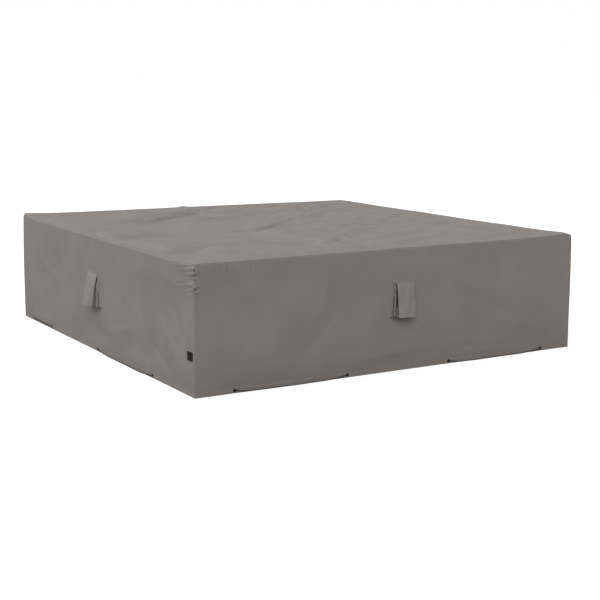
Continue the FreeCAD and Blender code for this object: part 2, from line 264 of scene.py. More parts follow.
def add_mesh(name, points, faces, materials, uv=None, material_index=None):
    """A smooth-shaded mesh object; uv is one pair for each point."""
    mesh = bpy.data.meshes.new(name)
    mesh.from_pydata(np.asarray(points, float).tolist(), [], [list(f) for f in faces])
    for material in materials:
        mesh.materials.append(material)
    mesh.polygons.foreach_set("use_smooth", np.ones(len(mesh.polygons), bool))
    if material_index is not None:
        mesh.polygons.foreach_set("material_index", np.asarray(material_index, np.int32))
    if uv is not None:
        loops = np.zeros(len(mesh.loops), np.int32)
        mesh.loops.foreach_get("vertex_index", loops)
        layer = mesh.uv_layers.new(name="cloth")
        layer.data.foreach_set("uv", np.asarray(uv, np.float32)[loops].ravel())
    mesh.update()
    item = bpy.data.objects.new(name, mesh)
    bpy.context.collection.objects.link(item)
    return item


def layers(outer, inner, keep=None):
    """A closed sheet made of two grids: (points, faces, their layers, the points' places).

    keep says which of the grid's cells are there; the rest are openings."""
    rows, columns = outer.shape[:2]
    number = np.arange(rows * columns).reshape(rows, columns)
    cells = np.stack(
        [number[:-1, :-1], number[:-1, 1:], number[1:, 1:], number[1:, :-1]], axis=-1
    )
    if keep is None:
        keep = np.ones((rows - 1, columns - 1), bool)
    top = cells[keep]
    far = rows * columns
    edges = np.concatenate([top[:, [i, (i + 1) % 4]] for i in range(4)])
    key = edges[:, 0] * far + edges[:, 1]
    twin = edges[:, 1] * far + edges[:, 0]
    rim = edges[~np.isin(key, twin)]
    sides = np.stack([rim[:, 1], rim[:, 0], rim[:, 0] + far, rim[:, 1] + far], axis=1)
    faces = np.concatenate([top, top[:, ::-1] + far, sides])
    layer = np.repeat([0, 1, 0], [len(top), len(top), len(sides)])
    points = np.concatenate([outer.reshape(-1, 3), inner.reshape(-1, 3)])
    used, faces_used = np.unique(faces, return_inverse=True)
    return points[used], faces_used.reshape(faces.shape), layer, used % far


def rod(sections, around, start=0, ring_shaped=False):
    """The faces of a rod of points in rings, which are joined up or capped at both ends."""
    rings = start + np.arange(sections * around).reshape(sections, around)
    nexts = np.roll(rings, -1, axis=1)
    faces = []
    for n in range(sections if ring_shaped else sections - 1):
        m = (n + 1) % sections
        faces += list(zip(rings[n], nexts[n], nexts[m], rings[m]))
    return faces if ring_shaped else faces + [tuple(rings[0, ::-1]), tuple(rings[-1])]


def joined_meshes(parts):
    """Several (points, faces) as one."""
    points, faces, start = [], [], 0
    for part_points, part_faces in parts:
        points.append(part_points)
        faces += [tuple(start + n for n in face) for face in part_faces]
        start += len(part_points)
    return np.concatenate(points), faces


def grid_normals(points):
    """The unit normals of a grid of points."""
    across = np.gradient(points, axis=1)
    down = np.gradient(points, axis=0)
    normals = np.cross(across, down)
    return normals / np.maximum(np.linalg.norm(normals, axis=-1, keepdims=True), 1e-12)


def add_sheet(name, outer, inner, uv, materials, keep=None, flip=False):
    """A closed sheet between two grids of points."""
    if flip:
        outer, inner, uv = outer[:, ::-1], inner[:, ::-1], uv[:, ::-1]
        keep = None if keep is None else keep[:, ::-1]
    points, faces, layer, source = layers(outer, inner, keep)
    material_index = layer if len(materials) > 1 else None
    return add_mesh(name, points, faces, materials, uv.reshape(-1, 2)[source], material_index)


# --- materials ---


class Shader:
    """A material's node tree, with short ways to add nodes to it."""

    def __init__(self, name):
        self.material = bpy.data.materials.new(name)
        self.material.use_nodes = True
        self.tree = self.material.node_tree
        self.sockets = self.tree.nodes["Principled BSDF"].inputs
        self.body = self.node("TexCoord", output="Object")

    def put(self, socket, value):
        if isinstance(value, bpy.types.NodeSocket):
            self.tree.links.new(value, socket)
        else:
            socket.default_value = value

    def node(self, kind, inputs=(), output=0, **settings):
        """Adds a node, with values or other nodes' outputs as its inputs; gives one output."""
        made = self.tree.nodes.new("ShaderNode" + kind)
        for key, value in settings.items():
            setattr(made, key, value)
        for key, value in dict(inputs).items():
            self.put(made.inputs[key], value)
        return made.outputs[output]

    def math(self, operation, *values):
        return self.node("Math", enumerate(values), operation=operation)

    def noise(self, place, scale, detail=3.0, roughness=0.5):
        inputs = {"Vector": place, "Scale": scale, "Detail": detail, "Roughness": roughness}
        return self.node("TexNoise", inputs, "Fac")

    def ramp(self, factor, low, high):
        """A colour between two, by a factor from 0 to 1."""
        return self.node("Mix", {0: factor, 6: (*low, 1), 7: (*high, 1)}, 2, data_type="RGBA")

    def stretch(self, value, low, high, to_low=0.0, to_high=1.0):
        ends = {"From Min": low, "From Max": high, "To Min": to_low, "To Max": to_high}
        return self.node("MapRange", {"Value": value, **ends})

    def bump(self, height, strength, distance, **under):
        return self.node(
            "Bump", {"Height": height, "Strength": strength, "Distance": distance, **under}
        )

    def blend(self, *shares):
        """The sum of (pattern, share) pairs."""
        total = self.math("MULTIPLY", *shares[0])
        for pattern, share in shares[1:]:
            total = self.math("MULTIPLY_ADD", pattern, share, total)
        return total

    def parts(self, vector, count=2):
        """The first components of a vector."""
        return [self.node("SeparateXYZ", {0: vector}, n) for n in range(count)]

    def cloth_place(self):
        return self.node("UVMap", uv_map="cloth")

    def ridges(self, low, high):
        """From 0 to 1 between two pointednesses of the surface."""
        return self.stretch(self.node("NewGeometry", output="Pointiness"), low, high)

    def weave(self, pitch):
        """The height of a plain weave with threads that far apart, from 0 to 1."""
        turns = [self.math("MULTIPLY", n, math.pi / pitch) for n in self.parts(self.cloth_place())]
        sines = [self.math("SINE", turn) for turn in turns]
        warp_top = self.math("GREATER_THAN", self.math("MULTIPLY", *sines), 0.0)
        weft_top = self.math("SUBTRACT", 1.0, warp_top)
        heights = [self.math("ABSOLUTE", sine) for sine in sines]
        warp = self.math("MULTIPLY", heights[0], warp_top)
        return self.math("MULTIPLY_ADD", heights[1], weft_top, warp)

    def finish(self, shade, colours, pattern, rough, normal, span=(0.3, 0.7), **constants):
        """Colour by a shade, roughness by a pattern, and numbers that are the same all over."""
        self.put(self.sockets["Base Color"], self.ramp(shade, *colours))
        self.put(self.sockets["Roughness"], self.stretch(pattern, *span, *rough))
        self.put(self.sockets["Normal"], normal)
        for key, value in constants.items():
            self.put(self.sockets[key.replace("_", " ")], value)
        return self.material


def grey(low, high):
    return (low,) * 3, (high,) * 3


def cloth_material():
    """Woven coated polyester: threads, blotches of shade, fine crumples and scuffed ridges.

    Its colour is painted darker towards the floor, as shade."""
    shader = Shader("cover_cloth_weave")
    weave = shader.weave(CLOTH_PITCH)
    blotch = shader.noise(shader.body, 5.0, 4.0, 0.6)
    yarn = shader.noise(shader.cloth_place(), 900.0, 2.0)
    ridges = shader.ridges(0.49, 0.53)
    shade = shader.blend((blotch, 0.55), (yarn, 0.2), (weave, 0.12), (ridges, 0.1))
    # Painted shade: the colour darkens towards the floor, up to a set height.
    low_painted_shade = shader.stretch(shader.parts(shader.body, 3)[2], 0.0, PAINTED_SHADE_TOP, -0.16, 0.0)
    crumple = shader.bump(shader.noise(shader.body, 26.0, 5.0, 0.62), 0.25, 2.2 * MM)
    return shader.finish(
        shader.math("ADD", shade, low_painted_shade), CLOTH_COLOURS,
        shader.math("ADD", blotch, yarn), (0.87, 0.76),
        shader.bump(weave, 0.5, 0.25 * MM, Normal=crumple), (0.7, 1.3),
        Sheen_Weight=0.06, Sheen_Roughness=0.5, Specular_IOR_Level=0.2,
    )


def film_material(name, pitch, colours, rough, scale, detail, depth, **constants):
    """A film on the cloth, blotched, with the weave or its own ribs showing through."""
    shader = Shader(name)
    blotch = shader.noise(shader.body, scale, *detail)
    normal = shader.bump(shader.weave(pitch), *depth)
    return shader.finish(blotch, colours, blotch, rough, normal, **constants)


def fibre_material(name, colours, rough, scale, depth, **constants):
    """Thread or drawn wire, finely streaked."""
    shader = Shader(name)
    streak = shader.noise(shader.body, *scale)
    return shader.finish(streak, colours, streak, rough, shader.bump(streak, *depth), **constants)


def dark_material(name, colours, rough, scale, depth, **constants):
    """Black plastic or painted metal: faint blotches, a fine grain and rubbed roughness."""
    shader = Shader(name)
    blotch = shader.noise(shader.body, scale, 4.0, 0.6)
    grain = shader.noise(shader.body, scale * 12, 3.0, 0.6)
    shade = shader.blend((blotch, 0.7), (shader.ridges(0.5, 0.58), 0.5))
    return shader.finish(
        shade, colours, blotch, (rough - 0.08, rough + 0.08), shader.bump(grain, 0.3, depth),
        **constants,
    )


def braid_material():
    """A round braid: crossing spirals of polyester yarn."""
    shader = Shader("cord_braid_yarn")
    along, around = shader.parts(shader.node("TexCoord", output="UV"))
    along = shader.math("MULTIPLY", along, 2400.0)
    around = shader.math("MULTIPLY", around, 16 * math.pi)
    spirals = [
        shader.math("SINE", shader.math(way, along, around)) for way in ("ADD", "SUBTRACT")
    ]
    weave = shader.stretch(shader.math("MAXIMUM", *spirals), -0.5, 1.0)
    fuzz = shader.noise(shader.body, 1400.0)
    return shader.finish(
        shader.blend((weave, 0.6), (fuzz, 0.4)), ((0.006, 0.006, 0.006), (0.03, 0.029, 0.028)),
        fuzz, (0.7, 0.9), shader.bump(weave, 0.7, 0.35 * MM), Specular_IOR_Level=0.1,
    )


def label_material():
    """A woven satin label, black and blank, with fine ribs."""
    shader = Shader("woven_label")
    weave = shader.weave(0.28 * MM)
    fuzz = shader.noise(shader.cloth_place(), 700.0)
    return shader.finish(
        shader.blend((weave, 0.5), (fuzz, 0.5)), ((0.007, 0.006, 0.006), (0.022, 0.02, 0.018)),
        fuzz, (0.55, 0.75), shader.bump(weave, 0.5, 0.12 * MM), Specular_IOR_Level=0.1,
    )


CLOTH_COLOURS = (0.171, 0.155, 0.143), (0.262, 0.240, 0.222)
CLOTH_PITCH = 0.6 * MM
# How high the painted shade near the floor reaches, in metres.
PAINTED_SHADE_TOP = 0.24
cloth_face = cloth_material()
# The cloth's dark back, whose colours also serve as painted shade in the gussets' slits.
cloth_back_and_slit_shade = film_material(
    "cloth_back_coating_and_slit_shade", CLOTH_PITCH, ((0.085, 0.079, 0.074), (0.125, 0.117, 0.11)),
    (0.38, 0.52), 9.0, (4.0, 0.6), (0.25, 0.1 * MM), Specular_IOR_Level=0.2,
)
tape_film = film_material(
    "seam_tape_film", 1.6 * MM, ((0.125, 0.12, 0.112), (0.165, 0.158, 0.15)),
    (0.3, 0.45), 30.0, (3.0,), (0.4, 0.12 * MM),
)
sewing_thread = fibre_material(
    "sewing_thread", ((0.15, 0.142, 0.134), (0.215, 0.205, 0.195)), (0.6, 0.8),
    (2500.0, 2.0), (0.4, 0.1 * MM), Sheen_Weight=0.2,
)
spring_wire = fibre_material(
    "spring_wire_steel", ((0.42, 0.41, 0.4), (0.6, 0.59, 0.57)), (0.22, 0.4),
    (800.0, 3.0), (0.2, 0.05 * MM), Metallic=1.0,
)
net_yarn = dark_material("net_yarn", grey(0.01, 0.045), 0.6, 300.0, 0.05 * MM)
black_paint = dark_material(
    "eyelet_black_paint", grey(0.008, 0.05), 0.42, 220.0, 0.05 * MM, Specular_IOR_Level=0.15
)
black_plastic = dark_material("lock_moulded_plastic", grey(0.008, 0.035), 0.5, 150.0, 0.08 * MM)
grey_plastic = dark_material("stiffener_plastic", grey(0.014, 0.04), 0.6, 60.0, 0.1 * MM)
cord_yarn = braid_material()
label_weave = label_material()

for cord_piece in cords.values():
    cord_piece.data.materials.append(cord_yarn)

# --- the shape of the shell ---

# How round each edge is, in mm.
EDGE_RADII = {"front": 9, "right": 12, "back": 13, "left": 21, "upright": 11}
EDGE_BLEND = 15 * MM
random = np.random.default_rng(87)


def smooth(value, low, high):
    """From 0 at low to 1 at high, with level ends."""
    share = np.clip((value - low) / (high - low), 0, 1)
    return share * share * (3 - 2 * share)


def hump(value, middle, width):
    """A bell curve 1 high."""
    return np.exp(-(((value - middle) / width) ** 2))


def edge_distances(p):
    """How far points are from each top edge and from the nearest upright edge."""
    x, y, z = np.moveaxis(p, -1, 0)
    under = TOP - z
    return {
        "front": np.hypot(y + HALF, under),
        "right": np.hypot(x - HALF, under),
        "back": np.hypot(y - HALF, under),
        "left": np.hypot(x + HALF, under),
        "upright": np.hypot(HALF - np.abs(x), HALF - np.abs(y)),
    }


def rounded(p):
    """Where points of a sharp box go when its edges are rounded, and the way out there."""
    far = edge_distances(p)
    weights = {name: 1 / (d**2 + EDGE_BLEND**2) for name, d in far.items()}
    radius = sum(EDGE_RADII[name] * w for name, w in weights.items()) / sum(weights.values()) * MM
    room = np.stack([HALF - radius, HALF - radius, TOP - radius], axis=-1)
    lowest = np.stack([radius - HALF, radius - HALF, np.full_like(radius, -np.inf)], axis=-1)
    core = np.clip(p, lowest, room)
    out = p - core
    out = out / np.maximum(np.linalg.norm(out, axis=-1, keepdims=True), 1e-9)
    return core + radius[..., None] * out, out


def waves(count, longest, shortest, height):
    """Plane waves in space, as (direction times wave number, phase, height)."""
    made = []
    for _ in range(count):
        length = shortest * (longest / shortest) ** random.random()
        heading = random.normal(size=3)
        heading /= np.linalg.norm(heading)
        phase = random.random() * 2 * math.pi
        made.append((heading * 2 * math.pi / length, phase, height * (length / longest) ** 0.8))
    return made


def sway(p, made):
    """The sum of plane waves at points."""
    total = np.zeros(p.shape[:-1])
    for number, phase, height in made:
        total += height * np.sin(p @ number + phase)
    return total


SWELL = waves(22, 0.95, 0.22, 1.3 * MM)
BEND_X = waves(6, 0.8, 0.3, 22 * MM)
BEND_Y = waves(6, 0.8, 0.3, 22 * MM)


def crease(x, y, start, end, height, width, skew=0.0, sharp=1.7):
    """A long fold from start to end: a ridge (or a valley, below 0) that fades at its ends.

    A lower number for sharp gives it a keener top."""
    start, end = np.array(start), np.array(end)
    run = end - start
    length = np.hypot(*run)
    along = ((x - start[0]) * run[0] + (y - start[1]) * run[1]) / length**2
    off = ((y - start[1]) * run[0] - (x - start[0]) * run[1]) / length
    ends = smooth(along, -0.05, 0.3) * (1 - smooth(along, 0.7, 1.05))
    slant = np.where(off * skew > 0, 1 + abs(skew), 1.0)
    return height * ends * np.exp(-np.abs(off / (width * slant)) ** sharp)


def top_creases():
    """Long folds: level and broad on the left, finer and fanning to the far corner beyond."""
    made = []
    for _ in range(260):
        x, y = random.uniform(-1.12, 1.12, 2)
        across = smooth(x + 0.35 * y, -0.75, 0.0)
        lean = -5 + 42 * across - 18 * smooth(x - 0.3 * y, 0.35, 1.1)
        angle = math.radians(lean + random.normal() * 7)
        step = np.array([math.cos(angle), math.sin(angle)]) * random.uniform(0.16, 0.5)
        middle = np.array([x, y])
        width = random.uniform(13, 24) * MM * (2.9 - 1.9 * across)
        height = random.choice([-1, 1]) * random.uniform(0.17, 0.42) * width
        skew = -2.2 + 1.4 * across
        made.append((middle - step, middle + step, height, width, skew, 1.25))
    return made


TOP_CREASES = top_creases()
# Single folds of the top: from and to, then rise, width in mm, and skew.
TENT_FOLDS = [
    ((-0.346, -0.884), (0.03, -0.49), 5.0, 26, -1.2),
    ((0.03, -0.50), (-0.06, -0.90), 3.6, 22, 1.0),
    ((-0.52, -1.06), (-0.02, -0.60), 3.0, 20, -1.0),
    ((-0.05, -0.845), (0.08, -0.835), 2.4, 22, 0.8),
    ((0.055, -0.84), (0.02, -1.13), 3.0, 24, 1.0),
    ((0.02, -0.50), (0.62, -0.30), 2.6, 24, 1.0),
    ((-0.14, -1.14), (0.02, -0.86), 2.2, 18, -0.8),
    ((0.30, -1.0), (0.95, -0.62), 1.6, 26, 0.8),
    ((-1.15, 0.33), (-0.32, 0.26), 2.2, 14, 0.6),
    ((-1.16, 0.20), (-0.50, 0.13), -1.6, 14, 0.6),
    ((-1.17, -0.08), (-0.80, -0.12), 2.6, 16, 0.8),
    ((-1.05, -0.30), (-0.35, -0.36), 1.5, 15, 0.5),
    ((-1.14, -0.47), (-0.62, -0.54), 1.7, 15, 0.5),
    ((-0.43, -0.34), (0.43, 0.23), 2.0, 17, 0.8),
    ((0.06, 0.09), (0.85, 0.75), 2.2, 18, 0.8),
    ((0.20, 0.05), (0.98, 0.62), -1.8, 18, 0.8),
    ((-0.10, 0.26), (0.62, 0.93), 1.8, 17, 0.8),
    ((0.37, -0.66), (1.02, -0.40), 2.0, 18, 0.8),
    ((0.45, -0.20), (1.08, 0.10), 1.7, 18, 0.8),
]
CREASE_LIMIT = 16 * MM
TENT_HEIGHT, SIDE_FOLD_HEIGHT = 2.8 * MM, 2.2 * MM


def top_height(x, y):
    """How far the top stands above or below its flat place."""
    warp = np.stack([x, y, np.zeros_like(x)], axis=-1)
    bent_x, bent_y = x + sway(warp, BEND_X), y + sway(warp, BEND_Y)
    height = np.zeros_like(x)
    for fold in TOP_CREASES:
        height += crease(bent_x, bent_y, *fold)
    less_bent = 0.7 * x + 0.3 * bent_x, 0.7 * y + 0.3 * bent_y
    for start, end, rise, width, skew in TENT_FOLDS:
        height += crease(*less_bent, start, end, rise * TENT_HEIGHT, width * MM, skew, 1.3)
    edge = HALF - np.maximum(np.abs(x), np.abs(y))
    return CREASE_LIMIT * np.tanh(height / CREASE_LIMIT) * smooth(edge, 4 * MM, 90 * MM)


# Soft folds on the sides: from and to, as (along, height), then rise, width in mm, and skew.
SIDE_FOLDS = {
    "front": [
        ((-0.42, 0.60), (-0.52, 0.30), 1.8, 38, 0.6),
        ((-0.30, 0.42), (-0.62, 0.12), -1.5, 42, 0.5),
        ((0.25, 0.50), (0.62, 0.36), 1.6, 30, 0.6),
        ((0.40, 0.40), (0.85, 0.20), -1.4, 36, 0.5),
        ((0.75, 0.22), (1.12, 0.08), 1.8, 34, 0.6),
        ((0.30, 0.09), (0.95, 0.05), -1.5, 26, 0.4),
        ((-0.95, 0.25), (-0.70, 0.08), 1.2, 34, 0.4),
        ((0.15, 0.13), (-0.30, 0.07), 1.3, 26, 0.4),
    ],
    "left": [
        ((1.10, 0.10), (0.80, 0.34), 3.4, 34, 0.8),
        ((1.02, 0.05), (0.66, 0.20), -2.6, 34, 0.6),
        ((1.12, 0.22), (0.92, 0.44), -2.4, 30, 0.5),
        ((0.50, 0.22), (0.10, 0.12), 2.2, 36, 0.5),
        ((0.20, 0.10), (-0.20, 0.16), -1.8, 34, 0.4),
        ((-0.60, 0.30), (-0.95, 0.44), 2.2, 44, 0.5),
        ((-0.50, 0.44), (-0.95, 0.27), -1.8, 38, 0.5),
        ((0.85, 0.56), (1.10, 0.50), 1.6, 26, 0.6),
    ],
    "right": [
        ((-1.05, 0.10), (-0.70, 0.32), 2.4, 36, 0.6),
        ((0.45, 0.46), (0.85, 0.24), -1.8, 40, 0.5),
        ((-0.60, 0.50), (-0.30, 0.22), 1.8, 38, 0.5),
        ((0.90, 0.12), (0.50, 0.10), 1.6, 28, 0.4),
    ],
    "back": [
        ((-0.95, 0.45), (-0.55, 0.20), 2.0, 40, 0.5),
        ((0.35, 0.50), (0.75, 0.25), -1.8, 38, 0.5),
        ((1.05, 0.10), (0.75, 0.30), 2.2, 34, 0.6),
        ((-0.40, 0.12), (0.20, 0.08), 1.5, 28, 0.4),
    ],
}
# How much the seams pucker: below the top edge's left and right quarters, then the rest; and
# beside the left-hand and right-hand upright seams near their tops, and how far out. In mm.
PUCKERS = {
    "front": (1.8, 0.4, 9.0, 0.5),
    "right": (1.2, 0.6, 0.5, 2.5),
    "back": (1.5, 0.5, 2.5, 1.5),
    "left": (0.3, 0.3, 1.2, 13.0),
}
PUCKER_REACH = {"front": 22, "right": 30, "back": 30, "left": 55}
BAND_LEFT, BAND_RIGHT, BAND_TOP = 10 * MM, 17 * MM, 8 * MM
HEM, HEM_STITCH = 28 * MM, 26.5 * MM
HEM_STEP, HEM_GROOVE = 0.35 * MM, 0.8 * MM
TAG_MIDDLE = (-HALF, -1.154, 0.1985)
VENT_EDGE = 72 * MM
VENT_TOP, VENT_BOTTOM = 468 * MM, 290 * MM
WINDOW_EDGE, WINDOW_BOTTOM, WINDOW_TOP = 54 * MM, 312 * MM, 430 * MM


def ripple(count, longest, shortest, seed):
    """A bumpy line: the sum of waves with random lengths and phases, about 1 high."""
    draw = np.random.default_rng(seed)
    lengths = shortest * (longest / shortest) ** draw.random(count)
    phases = draw.random(count) * 2 * math.pi

    def value(s, drift=0.0):
        total = sum(np.sin(2 * math.pi * s / n + f + drift) for n, f in zip(lengths, phases))
        return total / math.sqrt(count)

    return value


SEAM_RIPPLE = ripple(4, 46 * MM, 21 * MM, 11)
SEAM_GROOVE, SEAM_GROOVE_WIDTH = 0.9 * MM, 1.5 * MM
SEAM_WOBBLE, NEAR_WOBBLE, SEAM_WIDTH = 0.5 * MM, 5 * MM, 14 * MM
# Which of its two upright seams is the near corner's, on the sides that have it.
NEAR_SEAM_OF = {"front": 0, "left": 1}
BAND_RISE = 1.5 * MM


def side_seed(side):
    """The first of the numbers that a side's own ripples are drawn with."""
    return 20 + 7 * list(SIDES).index(side)


def near_top(z):
    """From 0 to 1 in the part of the upright seams that puckers."""
    return smooth(z, 0.47, 0.52)


def band(distance, width):
    """A seam allowance lying under the cloth: a low step that ends at its stitch line."""
    raised = smooth(distance, 0.2 * MM, 2.5 * MM) * (1 - smooth(distance, width, width + 4 * MM))
    return BAND_RISE * raised - SEAM_GROOVE * hump(distance, width + 1.5 * MM, 2 * MM)


def hanging_puckers(side, along, to_top):
    """Puckers that hang down from the top seam, mostly in its left quarter."""
    left_quarter, rest = PUCKERS[side][:2]
    depth = smooth(to_top, 3 * MM, 14 * MM) * np.exp(-to_top / (26 * MM))
    share = left_quarter * (1 - smooth(along, -0.95, -0.35)) + rest
    return share * MM * depth * ripple(6, 62 * MM, 24 * MM, side_seed(side))(along, 6 * to_top)


def seam_puckers(side, hand, distance, z):
    """Puckers that fan out beside an upright seam: sharp valleys between rounded ridges."""
    seed = side_seed(side)
    own = ripple(4, 74 * MM, 42 * MM, seed + 1 + hand)(z, 22 * distance)
    own = own * (0.9 + 0.3 * ripple(3, 90 * MM, 40 * MM, seed + 4)(z))
    fan = PUCKERS[side][2 + hand] * MM * near_top(z) * (np.abs(own) ** 0.85 - 0.5)
    fan += 0.7 * MM * hump(z, 0.27, 0.07) * ripple(3, 16 * MM, 11 * MM, seed + 9)(distance)
    return fan * smooth(distance, 0, 7 * MM) * np.exp(-distance / (PUCKER_REACH[side] * MM))


def side_height(side, along, z):
    """How far a side's cloth stands out from its flat place."""
    to_seams, to_top = (along + HALF, HALF - along), TOP - z
    ends = np.minimum(*to_seams)
    height = np.zeros_like(along)
    for start, end, rise, width, skew in SIDE_FOLDS[side]:
        height += crease(along, z, start, end, rise * SIDE_FOLD_HEIGHT, width * MM, skew, 1.4)
    height *= smooth(ends, 15 * MM, 90 * MM) * smooth(to_top, 10 * MM, 90 * MM)
    height += hanging_puckers(side, along, to_top) * smooth(ends, 2 * MM, 20 * MM)
    # the upright seams wobble near their tops, the near corner's most
    wobble = near_top(z) * SEAM_RIPPLE(z)
    height += SEAM_WOBBLE * wobble * hump(ends, 0, SEAM_WIDTH)
    if side in NEAR_SEAM_OF:
        near_seam = to_seams[NEAR_SEAM_OF[side]]
        height += NEAR_WOBBLE * wobble * hump(near_seam, 0, SEAM_WIDTH)
    for hand, distance in enumerate(to_seams):
        height += seam_puckers(side, hand, distance, z)
    return height * smooth(to_top, 0, 12 * MM)


def side_bands(along, z):
    """The stitched steps and grooves along the edges of a side."""
    to_top = TOP - z
    ends = np.minimum(along + HALF, HALF - along)
    seams = band(along + HALF, BAND_LEFT) + band(HALF - along, BAND_RIGHT)
    height = seams * smooth(to_top, 0, 8 * MM)
    height -= SEAM_GROOVE * hump(np.minimum(ends, to_top), 0, SEAM_GROOVE_WIDTH)
    height -= HEM_GROOVE * hump(z, HEM_STITCH, 2.2 * MM)
    return height + HEM_STEP * (1 - smooth(z, HEM_STITCH - 3 * MM, HEM_STITCH))


# How far from its middle a vent keeps the cloth flat, in mm.
VENT_REACH = {"front": 88, "right": 98, "back": 95, "left": 126}
CALM_TOP, CALM_BOTTOM = 480 * MM, 284 * MM


def calm(side, p, along, z):
    """How freely a side's cloth moves: not at all round the vent, at the hem and by the label."""
    right, above = VENT_SHIFTS[side]
    level = z - above
    past = np.hypot(
        np.maximum(np.abs(along - right) - VENT_REACH[side] * MM, 0),
        np.maximum(np.maximum(level - CALM_TOP, CALM_BOTTOM - level), 0),
    )
    from_tag = np.linalg.norm(p - np.array(TAG_MIDDLE), axis=-1)
    tag = 0.12 + 0.88 * smooth(from_tag, 34 * MM, 80 * MM)
    return smooth(past, 4 * MM, 70 * MM) * smooth(z, 20 * MM, 110 * MM) * tag


# Corners that sit higher or lower than the box: (x, y) signs, shift in mm, and reach.
CORNER_SHIFTS = [
    ((-1, 1), (5, 0, 7), 0.16),
    ((1, -1), (-5, 2, 8), 0.2),
    ((1, -1), (-4, 1, -7), 0.05),
]
BACK_RIGHT_LOW = 16 * MM


def corner_shift(p):
    """How far points move for the corners' sake; the shell leans down to its back right one."""
    total = np.zeros_like(p)
    x, y, z = np.moveaxis(p, -1, 0)
    total[..., 2] = -BACK_RIGHT_LOW * (x / HALF + 1) / 2 * (y / HALF + 1) / 2 * z / TOP
    for signs, shift, reach in CORNER_SHIFTS:
        corner = np.array([signs[0] * HALF, signs[1] * HALF, TOP])
        far = np.linalg.norm(p - corner, axis=-1)
        total += hump(far, 0, reach)[..., None] * np.array(shift) * MM
    return total


def swell(p):
    """The broad waves of the whole shell, calmer near its edges."""
    far = edge_distances(p)
    nearest = np.minimum.reduce([far[name] for name in ("front", "right", "back", "left")])
    ease = 0.25 + 0.75 * smooth(nearest, 5 * MM, 130 * MM)
    return sway(p, SWELL) * ease * (0.3 + 0.7 * smooth(far["upright"], 5 * MM, 110 * MM))


def side_cloth(side, along, z, inset=0.0):
    """Points of a side's cloth, that far under its outer face, and the way out there."""
    p = on_side(side, along, HALF, z)
    free = calm(side, p, along, z)
    place, out = rounded(p)
    lift = (side_height(side, along, z) + swell(p)) * free + side_bands(along, z) - inset
    return place + out * lift[..., None] + corner_shift(p), out


def top_cloth(x, y, inset=0.0):
    """Points of the top's cloth, that far under its outer face, and the way out there."""
    p = np.stack([x, y, np.full_like(x, TOP)], axis=-1)
    place, out = rounded(p)
    edge = HALF - np.maximum(np.abs(x), np.abs(y))
    lift = top_height(x, y) + swell(p) + band(edge, BAND_TOP)
    lift -= SEAM_GROOVE * hump(edge, 0, SEAM_GROOVE_WIDTH) + inset
    return place + out * lift[..., None] + corner_shift(p), out


# --- the lines of the grids ---

NEAR_SEAM = [n * MM for n in (0, 0.8, 1.8, 3, 4.5, 6, 7.5, 9, 10, 11.5, 13.5, 16, 17.5, 19.5)]
FROM_SEAM = NEAR_SEAM + [n * MM for n in (22, 25, 29, 34)]
ROUND_EYELET = [n * MM for n in (1.1, 3.3, 5.5, 7.7, 10.2, 13.5)]
HOLE_RADIUS = 6.6 * MM
# The least distance between lines, and how far apart they are at the ends, in between and on top.
LINE_GAP, FINE, MEDIUM, COARSE, TOP_STEP = 2.6 * MM, 6 * MM, 9 * MM, 10 * MM, 12.4 * MM
SIDE_MIDDLE, UPPER_PART = 0.72, 0.40


def spread(spans):
    """Evenly spaced lines over spans given as (start, end, step)."""
    made = []
    for start, end, step in spans:
        made += list(np.linspace(start, end, max(1, round((end - start) / step)), endpoint=False))
    return made


def merged(fixed, free):
    """All the fixed lines, and the free ones that aren't close to them."""
    fixed = sorted(set(round(n, 6) for n in fixed))
    gaps = np.abs(np.subtract.outer(np.array(free), np.array(fixed))).min(axis=1)
    return np.array(sorted(fixed + [n for n, gap in zip(free, gaps) if gap > LINE_GAP]))


def mirrored(values):
    """Values on both sides of 0."""
    return [-n for n in values] + list(values)


def along_lines(side):
    """The lines across a side, with its seams, eyelets and window among them."""
    fixed = mirrored([HALF - n for n in FROM_SEAM])
    for place in eyelet_places(side):
        fixed += [place + n for n in mirrored(ROUND_EYELET)]
    fixed += [VENT_SHIFTS[side][0] + n for n in mirrored([WINDOW_EDGE])]
    inner, middle = HALF - FROM_SEAM[-1], SIDE_MIDDLE
    spans = [(-inner, -middle, FINE), (-middle, middle, COARSE), (middle, inner, FINE)]
    return merged(fixed, spread(spans))


def height_lines():
    """The levels of a side, the same for all four."""
    fixed = [TOP - n for n in FROM_SEAM] + [0, 2 * MM, 26 * MM, HEM, 31 * MM]
    fixed += [EYELET_Z + n for n in mirrored(ROUND_EYELET[:5])]
    for above in {shift[1] for shift in VENT_SHIFTS.values()}:
        fixed += [WINDOW_BOTTOM + above, WINDOW_TOP + above]
    spans = [(35 * MM, UPPER_PART, MEDIUM), (UPPER_PART, TOP - FROM_SEAM[-1], FINE)]
    return merged(fixed, spread(spans))


def top_lines():
    """The lines of the top, the same both ways."""
    fixed = mirrored([HALF - n for n in FROM_SEAM])
    inner = HALF - FROM_SEAM[-1]
    return merged(fixed, spread([(-inner, inner, TOP_STEP)]))


